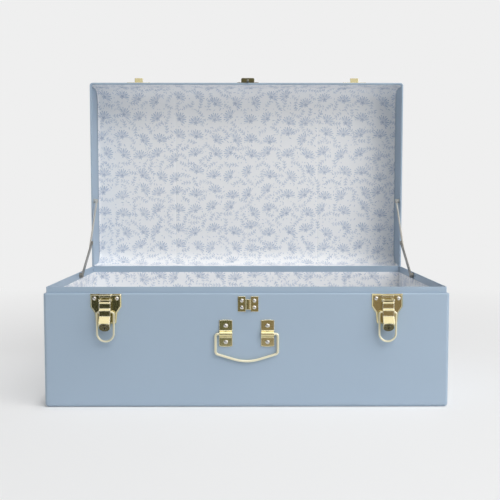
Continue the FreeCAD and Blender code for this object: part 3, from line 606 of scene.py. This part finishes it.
PATCH_SIZE = 12 * MM
POLISH_SIZE = 0.5 * MM
POLISH_HEIGHT = 0.0015 * MM
POLISH_GRAIN_SHARE = 0.6
POLISH_UNEVEN = 0.4
WIRE_UNEVEN = 0.04
# Edge mask in the metal: how much it smooths the roughness, and how far its painted highlight goes towards
# white
EDGE_SMOOTHING = 0.3
HIGHLIGHT_WHITE = 0.5


def paint_material(paint):
    """Sprayed satin paint: a slow bloom in colour, a fine orange peel, and a paler painted highlight along
    its edges.
    """
    material, tree, shader = new_material("blue_paint")
    drift, grain = surface_drift(tree, object_coords(tree), PAINT_BLOOM_SIZE, paint.peel_size)
    edge_highlight, normal = rounded_edges_and_highlight(tree, paint.edge, grain)
    bloom = mix_colour(tree, drift, rgba(paint.colour), rgba(paint.light_colour))
    # Paler tone where the edge mask rises: a painted highlight along the edges
    highlighted = mix_colour(tree, edge_highlight * PAINT_HIGHLIGHT_SHARE, bloom, rgba(paint.highlighted))
    link_or_set(tree, shader.inputs["Base Color"], highlighted)
    link_or_set(tree, shader.inputs["Roughness"], grain.spread(paint.roughness, PAINT_ROUGHNESS_HALF))
    add_bump(tree, shader, grain, PAINT_PEEL_HEIGHT, normal)
    return material


def lining_material(lining):
    """Matt printed paper with a fibre grain and ink that thins and thickens."""
    material, tree, shader = new_material("printed_lining")
    place = node(tree, "ShaderNodeUVMap", uv_map="paper").outputs["UV"]
    marks = use_group(tree, sprig_print_group(lining), {"Vector": place})
    drift, grain = surface_drift(tree, place, INK_WASH_SIZE, FIBRE_SIZE)
    wash = drift.spread(INK_WASH, INK_WASH_HALF).clamp()
    fill = Num(tree, marks.outputs["Fill"]) * wash
    line = Num(tree, marks.outputs["Line"]) * wash
    filled = mix_colour(tree, fill, rgba(lining.paper), rgba(lining.leaf))
    drawn = mix_colour(tree, line, filled, rgba(lining.line))
    link_or_set(tree, shader.inputs["Base Color"], drawn)
    link_or_set(tree, shader.inputs["Roughness"], grain.spread(PAPER_ROUGHNESS, PAPER_ROUGHNESS_HALF))
    add_bump(tree, shader, grain, FIBRE_HEIGHT)
    return material


def plated_material(name, bright, dull, roughness, edge, diffuse_share=0.0, uneven=POLISH_UNEVEN):
    """Plated metal: duller patches, polish grain, a painted highlight along the edges, and a diffuse share
    that leaves part of it matt.

    The roughness drifts by its uneven share each way, and the edge mask smooths it."""
    material, tree, shader = new_material(name)
    patches, grain = surface_drift(tree, object_coords(tree), PATCH_SIZE, POLISH_SIZE)
    edge_highlight, normal = rounded_edges_and_highlight(tree, edge, grain)
    body = mix_colour(tree, patches, rgba(bright), rgba(dull))
    # Paler tone towards white where the edge mask rises: a painted highlight along the edges
    highlighted = tuple(HIGHLIGHT_WHITE + (1 - HIGHLIGHT_WHITE) * channel for channel in bright)
    link_or_set(tree, shader.inputs["Base Color"], mix_colour(tree, edge_highlight, body, rgba(highlighted)))
    # A diffuse share leaves part of the surface matt; on the wire this is painted sheen
    shader.inputs["Metallic"].default_value = 1.0 - diffuse_share
    polish = grain * POLISH_GRAIN_SHARE + patches * (1 - POLISH_GRAIN_SHARE)
    edge_smoothed_roughness = polish.spread(roughness, roughness * uneven) * (1.0 - edge_highlight * EDGE_SMOOTHING)
    link_or_set(tree, shader.inputs["Roughness"], edge_smoothed_roughness)
    add_bump(tree, shader, grain, POLISH_HEIGHT, normal)
    return material


def metal_finish(metal, name):
    """One of the trunk's metal finishes, built the first time that a fitting asks for it."""
    finishes = {
        "brass_plate": dict(
            bright=metal.brass, dull=metal.brass_dull, roughness=0.19, edge=metal.plate_edge),
        "brass_bent": dict(
            bright=metal.brass, dull=metal.brass_dull, roughness=0.19, edge=metal.bent_edge),
        # The wire's diffuse share is painted sheen: with the pale colour it stays bright cream from every
        # side, as reflections would make it
        "brass_wire": dict(
            bright=metal.wire, dull=metal.wire_dull, roughness=0.30, edge=0.0, diffuse_share=0.38,
            uneven=WIRE_UNEVEN),
        # Brass darkened as painted shade, for the locks and the lid's dowel
        "brass_painted_shade": dict(
            bright=metal.lock, dull=metal.lock_dull, roughness=0.24, edge=metal.edge),
        "nickel_rivets": dict(
            bright=metal.nickel, dull=metal.nickel_dull, roughness=0.15, edge=metal.edge),
        "steel_plate": dict(
            bright=metal.steel, dull=metal.steel_dull, roughness=0.32, edge=metal.edge, diffuse_share=0.2),
        "steel_dark": dict(
            bright=metal.dark_steel, dull=metal.dark_steel_dull, roughness=0.34, edge=metal.edge,
            diffuse_share=0.1),
    }
    return bpy.data.materials.get(name) or plated_material(name, **finishes[name])


# Meshes

RIM_STEPS = 4
NEVER_ZERO = 1e-12
CARD_POINTS = 9


def grid_quads(index):
    """Quads of a grid of vertex numbers."""
    corners = [index[:-1, :-1], index[1:, :-1], index[1:, 1:], index[:-1, 1:]]
    return np.stack(corners, -1).reshape(-1, 4)


def rim_loop(grid):
    """The outer ring of a grid, in order, as one array."""
    return np.concatenate([grid[:-1, 0], grid[-1, :-1], grid[:0:-1, -1], grid[0, :0:-1]])


def mesh_piece(name, points, faces, uvs=None):
    """Smooth mesh object at the origin from points, quads and an optional paper map."""
    mesh = bpy.data.meshes.new(name)
    mesh.from_pydata(points.tolist(), [], faces.tolist())
    if uvs is not None:
        corner = np.zeros(len(mesh.loops), np.int32)
        mesh.loops.foreach_get("vertex_index", corner)
        paper = mesh.uv_layers.new(name="paper")
        paper.data.foreach_set("uv", uvs[corner].astype(np.float32).ravel())
    mesh.shade_smooth()
    mesh.update()
    piece = bpy.data.objects.new(name, mesh)
    bpy.context.scene.collection.objects.link(piece)
    return piece


def flat_card(name, corner, along, up):
    """Flat sheet on a grid: point = corner + s * along + t * up, with s and t from 0 to 1."""
    steps = np.linspace(0, 1, CARD_POINTS)
    s, t = np.meshgrid(steps, steps, indexing="ij")
    points = np.array(corner) + s[..., None] * np.array(along) + t[..., None] * np.array(up)
    return mesh_piece(name, points.reshape(-1, 3), grid_quads(np.arange(s.size).reshape(s.shape)))


def closed_sheet(name, front, back, uv):
    """Sheet between two matching grids of points, closed by a half-round rim.

    Rim point = middle + half gap * cos(a) + outward * half thickness * sin(a), with a from 0 to half a
    turn. Outward points from the grid's next row or column to its rim."""
    count = front.shape[0] * front.shape[1]
    index = np.arange(count).reshape(front.shape[:2])
    ring = rim_loop(index)
    middle = (front + back) / 2
    half = (front - back) / 2
    inner = np.pad(middle[1:-1, 1:-1], ((1, 1), (1, 1), (0, 0)), mode="edge")
    outward = (middle - inner).reshape(-1, 3)[ring]
    outward /= np.linalg.norm(outward, axis=1, keepdims=True) + NEVER_ZERO
    thick = np.linalg.norm(half, axis=2).reshape(-1)[ring][:, None]
    angles = np.linspace(0, math.pi, RIM_STEPS + 2)[1:-1, None, None]
    rows = (middle.reshape(-1, 3)[ring] + half.reshape(-1, 3)[ring] * np.cos(angles)
            + outward * thick * np.sin(angles))
    points = np.concatenate([front.reshape(-1, 3), back.reshape(-1, 3), rows.reshape(-1, 3)])
    face_uv = uv.reshape(-1, 2)
    uvs = np.concatenate([face_uv, face_uv] + [face_uv[ring]] * RIM_STEPS)
    rim_index = 2 * count + np.arange(RIM_STEPS * len(ring)).reshape(RIM_STEPS, -1)
    strip = np.concatenate([ring[None], rim_index, ring[None] + count])
    strip = np.concatenate([strip, strip[:, :1]], 1)
    faces = np.concatenate([grid_quads(index), grid_quads(index + count)[:, ::-1], grid_quads(strip)])
    along = front[1, 1] - front[0, 1]
    up = front[1, 1] - front[1, 0]
    if np.dot(np.cross(along, up), half[1, 1]) < 0:
        faces = faces[:, ::-1]
    return mesh_piece(name, points, faces, uvs)


# Lining

LINING_STEP = 7 * MM
LINING_MIN_POINTS = 4

# Waves of the glued paper: radians for each metre across and up, and the angle that each starts at
RIPPLE_WAVES = ((31, 17, 0.0), (57, -43, 1.3), (11, 83, 0.4))

# Boards of the base: axis and sense in which the face looks, axes across and up, and the print's shift
BASE_BOARDS = {
    "floor": (Z, 1, X, Y, 0.0),
    "front": (Y, 1, X, Z, 0.31),
    "back": (Y, -1, X, Z, 0.47),
    "left": (X, 1, Y, Z, 0.71),
    "right": (X, -1, Y, Z, 0.93),
}

LID_LINING_THICK = 1.0 * MM
LID_BEND = 23.6 * MM
LID_COLUMNS = 79
LID_END_COLUMNS = 7

# Seams of the lid lining: places in pitches from the middle, and sizes in millimetres
SEAM_PLACES = np.array([-1, 0, 1])
SEAM_REACH = 1.2
SEAM_COLUMNS = 7
SEAM_DEPTH = 0.45
SEAM_WIDTH = 0.5


def ripple_height(u, v, size):
    """Low ripple of glued paper: the mean of slanted sine waves, from -1 to 1 times the size."""
    waves = sum(np.sin(u * across + v * up + start) for across, up, start in RIPPLE_WAVES)
    return size * waves / len(RIPPLE_WAVES)


def board_sheet(name, lining, axis, sign, across, up, shift):
    """Lining board from its CAD box: a flat sheet with a rippled face, wrapped over a half-round rim.

    Face point = corner + u * across + v * up - (size + ripple) * normal, from the box's own face."""
    low, high = (np.array(p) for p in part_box(name))
    half = (high[axis] - low[axis]) / 2
    nu = max(LINING_MIN_POINTS, round((high[across] - low[across]) / LINING_STEP))
    nv = max(LINING_MIN_POINTS, round((high[up] - low[up]) / LINING_STEP))
    u, v = np.meshgrid(np.linspace(low[across] + half, high[across] - half, nu),
                       np.linspace(low[up] + half, high[up] - half, nv), indexing="ij")
    face_at, back_at = (high[axis], low[axis]) if sign > 0 else (low[axis], high[axis])
    front = np.zeros((nu, nv, 3))
    front[..., across], front[..., up] = u, v
    back = front.copy()
    front[..., axis] = face_at - sign * (lining.ripple + ripple_height(u, v, lining.ripple))
    back[..., axis] = back_at
    paper = np.stack([u + shift, v + shift], -1)
    piece = closed_sheet("lining_" + name.removeprefix("base_board_"), front, back, paper)
    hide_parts(name)
    return piece


def along_x(values):
    """Vectors of the given lengths along X."""
    return np.stack([values, np.zeros_like(values), np.zeros_like(values)], -1)


def lid_outline(low, high):
    """End outline of the lid lining by the distance run: wall, quarter bend, top, quarter bend, wall.

    Returns the distances, the points, and the normals, which face into the lid."""
    wall = high[Y] - LID_BEND - low[Y]
    top = high[Z] - low[Z] - 2 * LID_BEND
    arc = LID_BEND * QUARTER_TURN
    total = 2 * wall + 2 * arc + top
    margin = LID_LINING_THICK / 2
    run = np.linspace(margin, total - margin, round(total / (LINING_STEP / 2)))
    first = np.clip((run - wall) / arc, 0, 1) * QUARTER_TURN
    second = np.clip((run - wall - arc - top) / arc, 0, 1) * QUARTER_TURN
    straight_in = np.clip(run, 0, wall)
    along_top = np.clip(run - wall - arc, 0, top)
    straight_out = np.clip(run - wall - 2 * arc - top, 0, wall)
    y = low[Y] + straight_in + LID_BEND * np.sin(first) - LID_BEND * (1 - np.cos(second)) - straight_out
    z = low[Z] + LID_BEND * (1 - np.cos(first)) + along_top + LID_BEND * np.sin(second)
    none = np.zeros_like(run)
    turn = first + second
    return run, np.stack([none, y, z], -1), np.stack([none, -np.sin(turn), np.cos(turn)], -1)


def lid_columns(flat, radius, seams):
    """Places of the lid lining's columns: even over the flat part, finer at the seams and the end turns."""
    even = np.linspace(-flat, flat, LID_COLUMNS)
    fine = (seams[:, None] + np.linspace(-SEAM_REACH, SEAM_REACH, SEAM_COLUMNS) * MM).ravel()
    ends = np.linspace(flat, flat + radius * QUARTER_TURN - LID_LINING_THICK / 2, LID_END_COLUMNS)
    return np.unique(np.concatenate([even, fine, ends, -ends]))


def lid_lining_sheet(lining):
    """Lid lining: the lid's end outline carried along its length, turned up at both ends, with faint seams.

    Past the flat part the sheet turns up by a quarter round of its own:
    x = flat + radius * sin(a), lift = radius * (1 - cos(a)).
    Face = outline + lift * normal
    + (thickness - size - ripple - dip) * (cos(a) * normal - sin(a) * endwards).
    Seam dip = depth * exp(-(distance to seam / width) ** 2)."""
    low, high = (np.array(p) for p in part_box("lid_lining"))
    run, outline, normal = lid_outline(low, high)
    flat = high[X]
    radius = lining.end_turn
    seams = SEAM_PLACES * lining.seam_pitch
    across = lid_columns(flat, radius, seams)
    side = np.sign(across)
    angle = np.clip((np.abs(across) - flat) / radius, 0, QUARTER_TURN)
    x = side * (np.minimum(np.abs(across), flat) + radius * np.sin(angle))
    lift = radius * (1 - np.cos(angle))
    back = outline[None] + along_x(x)[:, None] + lift[:, None, None] * normal[None]
    endwards = np.sin(angle)[:, None] * along_x(side)
    facing = np.cos(angle)[:, None, None] * normal[None] - endwards[:, None]
    dip = SEAM_DEPTH * MM * np.exp(-((across[:, None] - seams) / (SEAM_WIDTH * MM)) ** 2).max(1)
    u, v = np.meshgrid(across, run, indexing="ij")
    raised = LID_LINING_THICK - lining.ripple - ripple_height(u, v, lining.ripple) - dip[:, None]
    front = back + raised[..., None] * facing
    piece = closed_sheet("lining_lid", front, back, np.stack([u, v], -1))
    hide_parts("lid_lining")
    return piece


def finish_lining(piece, body, material):
    """Give a lining piece its paper and the body it rides on."""
    piece.data.materials.append(material)
    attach(piece, body)


# Stage: places and sizes are in metres

WHITE = (1.0, 1.0, 1.0)

KEY_SPREAD = math.radians(60)
KEY_TOWARDS = (-0.35, 0.45, -0.82)
TOP_SPREAD = math.radians(100)
TOP_TOWARDS = (0.0, 0.0, -1.0)
SIDE_SIZE = (0.8, 0.8)
SIDE_PLACE = (1.1, -0.75, 0.75)
SIDE_TARGET = (0.1, -0.1, 0.15)
BOUNCE_SIZE = (1.2, 0.25)
BOUNCE_PLACE = (0.0, -0.8, 0.3)
BOUNCE_TARGET = (0.0, -0.16, 0.03)
BOUNCE_COLOUR = (0.72, 0.86, 1.0)

CAMERA_PLACE = (0.0, -1.1843, 0.28365)
CAMERA_DOWN = math.radians(3.87)
CAMERA_TO_RIGHT = math.radians(0.252)
CAMERA_REACH = 100
SENSOR_WIDTH = 36

FLOOR_REACH = 14.0
FLOOR_DROP = 0.1 * MM
FADE_START = 0.5
FADE_LENGTH = 0.9
CONTACT_WIDTH = 22 * MM
FLOOR_PATCH_SIZE = 0.5
FLOOR_GRAIN_SIZE = 0.02
FLOOR_PALER = 1.004

# Shares of the plain backdrop in the floor: at the trunk's bottom edge, then added clear of it and far off
EDGE_SHARE = 0.05
CLEAR_SHARE = 0.45
FAR_SHARE = 0.5

# Cards that the metal reflects: a corner, two edges, and colours of the glow by place along X
REFLECTION_CARDS = {
    "front": {
        "corner": (-0.5, -0.53, 0.002), "along": (0.86, 0, 0), "up": (0, 0, 0.2),
        "glow": {-0.32: (0.02, 0.022, 0.013), -0.045: (0.09, 0.11, 0.06), 0.032: (0.28, 0.23, 0.16),
                 0.32: (0.27, 0.215, 0.15)},
    },
    "left": {
        "corner": (-1.2, -0.1, 0.3), "along": (0.65, -0.75, 0), "up": (0, 0, 0.65),
        "glow": {0.0: (0.04, 0.04, 0.035)},
    },
    "top": {
        "corner": (-1.2, -1.7, 1.3), "along": (2.4, 0, 0), "up": (0, 1.15, 0),
        "glow": {0.0: (1.25, 1.25, 1.25)},
    },
    "above": {
        "corner": (-1.2, -0.55, 1.3), "along": (2.4, 0, 0), "up": (0, 0.6, 0),
        "glow": {-0.36: (0.10, 0.09, 0.06), -0.2: (2.4, 2.4, 2.3), 0.2: (2.4, 2.4, 2.3),
                 0.38: (0.55, 0.50, 0.40)},
    },
}


def lamp_object(light, towards):
    """Object for a light that shines along a direction."""
    lamp = bpy.data.objects.new(light.name, light)
    lamp.rotation_euler = Vector(towards).to_track_quat("-Z", "Y").to_euler()
    bpy.context.scene.collection.objects.link(lamp)
    return lamp


def sun(name, strength, spread, towards):
    """Broad distant light, left out of reflections, which show the backdrop and the cards."""
    light = bpy.data.lights.new(name, "SUN")
    light.energy = strength
    light.angle = spread
    lamp_object(light, towards).visible_glossy = False


def area(name, power, size, place, target, colour=WHITE):
    """Soft rectangular light that points from its place to a target and isn't seen by the camera."""
    light = bpy.data.lights.new(name, "AREA")
    light.energy = power
    light.color = colour
    light.shape = "RECTANGLE"
    light.size, light.size_y = size
    lamp = lamp_object(light, Vector(target) - Vector(place))
    lamp.location = place
    lamp.visible_camera = False


def glow_colour(tree, stops):
    """Colour that runs through stops along X, each a place and a colour; a single stop is plain."""
    places = list(stops)
    first, last = places[0], places[-1]
    if first == last:
        return rgba(stops[first])
    axes = node(tree, "ShaderNodeSeparateXYZ", {0: object_coords(tree)})
    share = ((Num(tree, axes.outputs[X]) - first) / (last - first)).clamp()
    ramp = node(tree, "ShaderNodeValToRGB", {"Fac": share})
    elements = ramp.color_ramp.elements
    while len(elements) < len(stops):
        elements.new(0.5)
    for element, (place, colour) in zip(elements, stops.items()):
        element.position = (place - first) / (last - first)
        element.color = rgba(colour)
    return ramp.outputs[0]


def reflection_card(name, corner, along, up, glow):
    """Flat glowing card that only reflections see."""
    card = flat_card(name, corner, along, up)
    for ray in ("camera", "diffuse", "shadow", "transmission", "volume_scatter"):
        setattr(card, "visible_" + ray, False)
    material = bpy.data.materials.new(name)
    tree = empty_tree(material)
    emission = node(tree, "ShaderNodeEmission", {"Color": glow_colour(tree, glow), "Strength": 1.0})
    node(tree, "ShaderNodeOutputMaterial", {"Surface": emission.outputs[0]})
    card.data.materials.append(material)


def seen_directly(tree):
    """1 for the camera, for reflections and through clear surfaces, and 0 for light that falls on things."""
    path = node(tree, "ShaderNodeLightPath")
    camera = Num(tree, path.outputs["Is Camera Ray"])
    return camera.max(path.outputs["Is Glossy Ray"]).max(path.outputs["Is Transmission Ray"])


def backdrop_share(tree, spot):
    """Share of the plain backdrop in the floor, which grows away from the trunk's bottom edge and far off.

    So half of the trunk's shadow stays nearby, and nearly all of it next to the bottom edge."""
    axes = node(tree, "ShaderNodeSeparateXYZ", {0: spot})
    distance = node(tree, "ShaderNodeVectorMath", {0: spot}, operation="LENGTH").outputs["Value"]
    far = ((Num(tree, distance) - FADE_START) / FADE_LENGTH).clamp()
    half_length, half_depth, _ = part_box("base_shell")[1]
    beside = abs(Num(tree, axes.outputs[X])) - half_length
    before = abs(Num(tree, axes.outputs[Y])) - half_depth
    clear = (beside.max(before) / CONTACT_WIDTH).clamp()
    return far * FAR_SHARE + clear * CLEAR_SHARE + EDGE_SHARE


def floor_sheet(studio):
    """Flat matt floor just under the trunk, which fades into the plain backdrop with distance."""
    floor = flat_card("studio_floor", (-FLOOR_REACH, -FLOOR_REACH, -FLOOR_DROP),
                      (2 * FLOOR_REACH, 0, 0), (0, 2 * FLOOR_REACH, 0))
    material, tree, shader = new_material("studio_floor")
    spot = object_coords(tree)
    share = backdrop_share(tree, spot) * seen_directly(tree)
    plain = node(tree, "ShaderNodeEmission", {"Color": rgba(studio.backdrop), "Strength": 1.0})
    mix = node(tree, "ShaderNodeMixShader", {0: share, 1: shader.outputs[0], 2: plain.outputs[0]})
    tree.links.new(mix.outputs[0], tree.nodes["Material Output"].inputs["Surface"])
    shader.inputs["Specular IOR Level"].default_value = 0.0
    shader.inputs["Roughness"].default_value = 1.0
    drift, _ = surface_drift(tree, spot, FLOOR_PATCH_SIZE, FLOOR_GRAIN_SIZE)
    paler = tuple(channel * FLOOR_PALER for channel in studio.floor)
    link_or_set(tree, shader.inputs["Base Color"], mix_colour(tree, drift, rgba(studio.floor), rgba(paler)))
    floor.data.materials.append(material)


def studio_world(studio):
    """Even fill light, with the plain backdrop where the camera, a reflection or a clear surface sees it."""
    world = bpy.data.worlds.new("studio_world")
    tree = empty_tree(world)
    seen = seen_directly(tree)
    fill = node(tree, "ShaderNodeBackground", {"Color": rgba(WHITE), "Strength": studio.fill})
    plain = node(tree, "ShaderNodeBackground", {"Color": rgba(studio.backdrop), "Strength": 1.0})
    mix = node(tree, "ShaderNodeMixShader", {0: seen, 1: fill.outputs[0], 2: plain.outputs[0]})
    node(tree, "ShaderNodeOutputWorld", {"Surface": mix.outputs[0]})
    bpy.context.scene.world = world


def photo_camera(studio):
    """Camera in front of the trunk, above the base's rim, turned slightly down and to the right."""
    camera = bpy.data.cameras.new("photo_camera")
    camera.lens = studio.lens
    camera.sensor_width = SENSOR_WIDTH
    camera.clip_end = CAMERA_REACH
    holder = bpy.data.objects.new("photo_camera", camera)
    holder.location = CAMERA_PLACE
    holder.rotation_euler = (QUARTER_TURN - CAMERA_DOWN, 0, -CAMERA_TO_RIGHT)
    bpy.context.scene.collection.objects.link(holder)
    bpy.context.scene.camera = holder


# Operators

def assign(names, material):
    """Give CAD nodes one material in every slot."""
    for name in names:
        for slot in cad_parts[name].material_slots:
            slot.material = material


def both(*patterns):
    """Node names for the left and the right side."""
    return [pattern.replace("*", side) for side in SIDES for pattern in patterns]


def plate(context, names_by_finish):
    """Give CAD nodes their metal finishes."""
    for finish, names in names_by_finish.items():
        assign(names, metal_finish(context.scene.trunk_metal, finish))


class TRUNK_OT_paint(bpy.types.Operator):
    """Paint the shells and the collar."""

    bl_idname = "trunk.paint"
    bl_label = "Paint shells"

    def execute(self, context):
        material = paint_material(context.scene.trunk_paint)
        assign(("base_shell", "base_collar", "lid_shell"), material)
        return {"FINISHED"}


class TRUNK_OT_lining(bpy.types.Operator):
    """Make the printed lining boards of base and lid."""

    bl_idname = "trunk.lining"
    bl_label = "Lining"

    def execute(self, context):
        lining = context.scene.trunk_lining
        material = lining_material(lining)
        for name, facing in BASE_BOARDS.items():
            finish_lining(board_sheet("base_board_" + name, lining, *facing), "base", material)
        finish_lining(lid_lining_sheet(lining), "lid", material)
        return {"FINISHED"}


class TRUNK_OT_latches(bpy.types.Operator):
    """Plate the latches, their locks and the catches."""

    bl_idname = "trunk.latches"
    bl_label = "Latches and catches"

    def execute(self, context):
        plate(context, {
            "brass_plate": both("latch_*_plate", "latch_*_lever_pin", "catch_*"),
            "brass_bent": both("latch_*_lever"),
            # The locks get the darkened brass: painted shade
            "brass_painted_shade": both("latch_*_lock_barrel", "latch_*_lock_plug"),
            "brass_wire": both("latch_*_loop"),
            "nickel_rivets": both("latch_*_rivets", "catch_*_rivets"),
        })
        return {"FINISHED"}


class TRUNK_OT_dowel(bpy.types.Operator):
    """Plate the centre dowel and its socket."""

    bl_idname = "trunk.dowel"
    bl_label = "Centre dowel"

    def execute(self, context):
        plate(context, {
            "brass_plate": ["dowel_socket"],
            # The lid's dowel gets the darkened brass: painted shade on its end
            "brass_painted_shade": ["lid_dowel"],
            "nickel_rivets": ["dowel_socket_rivets", "lid_dowel_rivets"],
        })
        return {"FINISHED"}


class TRUNK_OT_handle(bpy.types.Operator):
    """Plate the carrying handle and its clips."""

    bl_idname = "trunk.handle"
    bl_label = "Handle"

    def execute(self, context):
        plate(context, {
            "brass_wire": ["handle_bail"],
            "brass_bent": both("handle_clip_*"),
            "nickel_rivets": ["handle_rivets"],
        })
        return {"FINISHED"}


class TRUNK_OT_hinges(bpy.types.Operator):
    """Plate the rear hinges."""

    bl_idname = "trunk.hinges"
    bl_label = "Hinges"

    def execute(self, context):
        plate(context, {
            "steel_plate": both("hinge_*_base_leaf", "hinge_*_lid_leaf", "hinge_*_pin"),
            "nickel_rivets": ["hinge_base_rivets", "hinge_lid_rivets"],
        })
        return {"FINISHED"}


class TRUNK_OT_stays(bpy.types.Operator):
    """Plate the folding lid stays."""

    bl_idname = "trunk.stays"
    bl_label = "Lid stays"

    def execute(self, context):
        plate(context, {
            "steel_plate": both("stay_*_upper_link", "stay_*_lid_pin"),
            "steel_dark": both("stay_*_lower_link", "stay_*_foot_pin", "stay_*_elbow_rivet",
                               "stay_*_elbow_end"),
        })
        return {"FINISHED"}


class TRUNK_OT_stage(bpy.types.Operator):
    """Set up floor, light and camera."""

    bl_idname = "trunk.stage"
    bl_label = "Stage"

    def execute(self, context):
        studio = context.scene.trunk_studio
        floor_sheet(studio)
        studio_world(studio)
        for name, card in REFLECTION_CARDS.items():
            reflection_card("studio_card_" + name, **card)
        sun("key_light", studio.key, KEY_SPREAD, KEY_TOWARDS)
        sun("top_light", studio.top, TOP_SPREAD, TOP_TOWARDS)
        area("side_light", studio.side, SIDE_SIZE, SIDE_PLACE, SIDE_TARGET)
        area("bounce_light", studio.bounce, BOUNCE_SIZE, BOUNCE_PLACE, BOUNCE_TARGET, BOUNCE_COLOUR)
        photo_camera(studio)
        context.scene.view_settings.view_transform = "Standard"
        return {"FINISHED"}


# Panel and registration

class TRUNK_PT_sidebar(bpy.types.Panel):
    """Settings and build steps of the trunk."""

    bl_idname = "TRUNK_PT_sidebar"
    bl_label = "Storage trunk"
    bl_space_type = "VIEW_3D"
    bl_region_type = "UI"
    bl_category = "Trunk"

    def draw(self, context):
        layout = self.layout
        for name, kind in SETTINGS.items():
            box = layout.box()
            for prop in kind.__annotations__:
                box.prop(getattr(context.scene, name), prop)
        for operator in OPERATORS:
            layout.operator(operator.bl_idname)


OPERATORS = (TRUNK_OT_paint, TRUNK_OT_lining, TRUNK_OT_latches, TRUNK_OT_dowel, TRUNK_OT_handle,
             TRUNK_OT_hinges, TRUNK_OT_stays, TRUNK_OT_stage)
CLASSES = (*SETTINGS.values(), *OPERATORS, TRUNK_PT_sidebar)


def register():
    """Register the classes and hang the settings on the scene."""
    for entry in CLASSES:
        bpy.utils.register_class(entry)
    for name, kind in SETTINGS.items():
        setattr(bpy.types.Scene, name, bpy.props.PointerProperty(type=kind))


def unregister():
    """Undo register."""
    for name in SETTINGS:
        delattr(bpy.types.Scene, name)
    for entry in reversed(CLASSES):
        bpy.utils.unregister_class(entry)


def main():
    """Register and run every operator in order."""
    register()
    bpy.ops.trunk.paint()
    bpy.ops.trunk.lining()
    bpy.ops.trunk.latches()
    bpy.ops.trunk.dowel()
    bpy.ops.trunk.handle()
    bpy.ops.trunk.hinges()
    bpy.ops.trunk.stays()
    bpy.ops.trunk.stage()


if __name__ == "__main__":
    main()
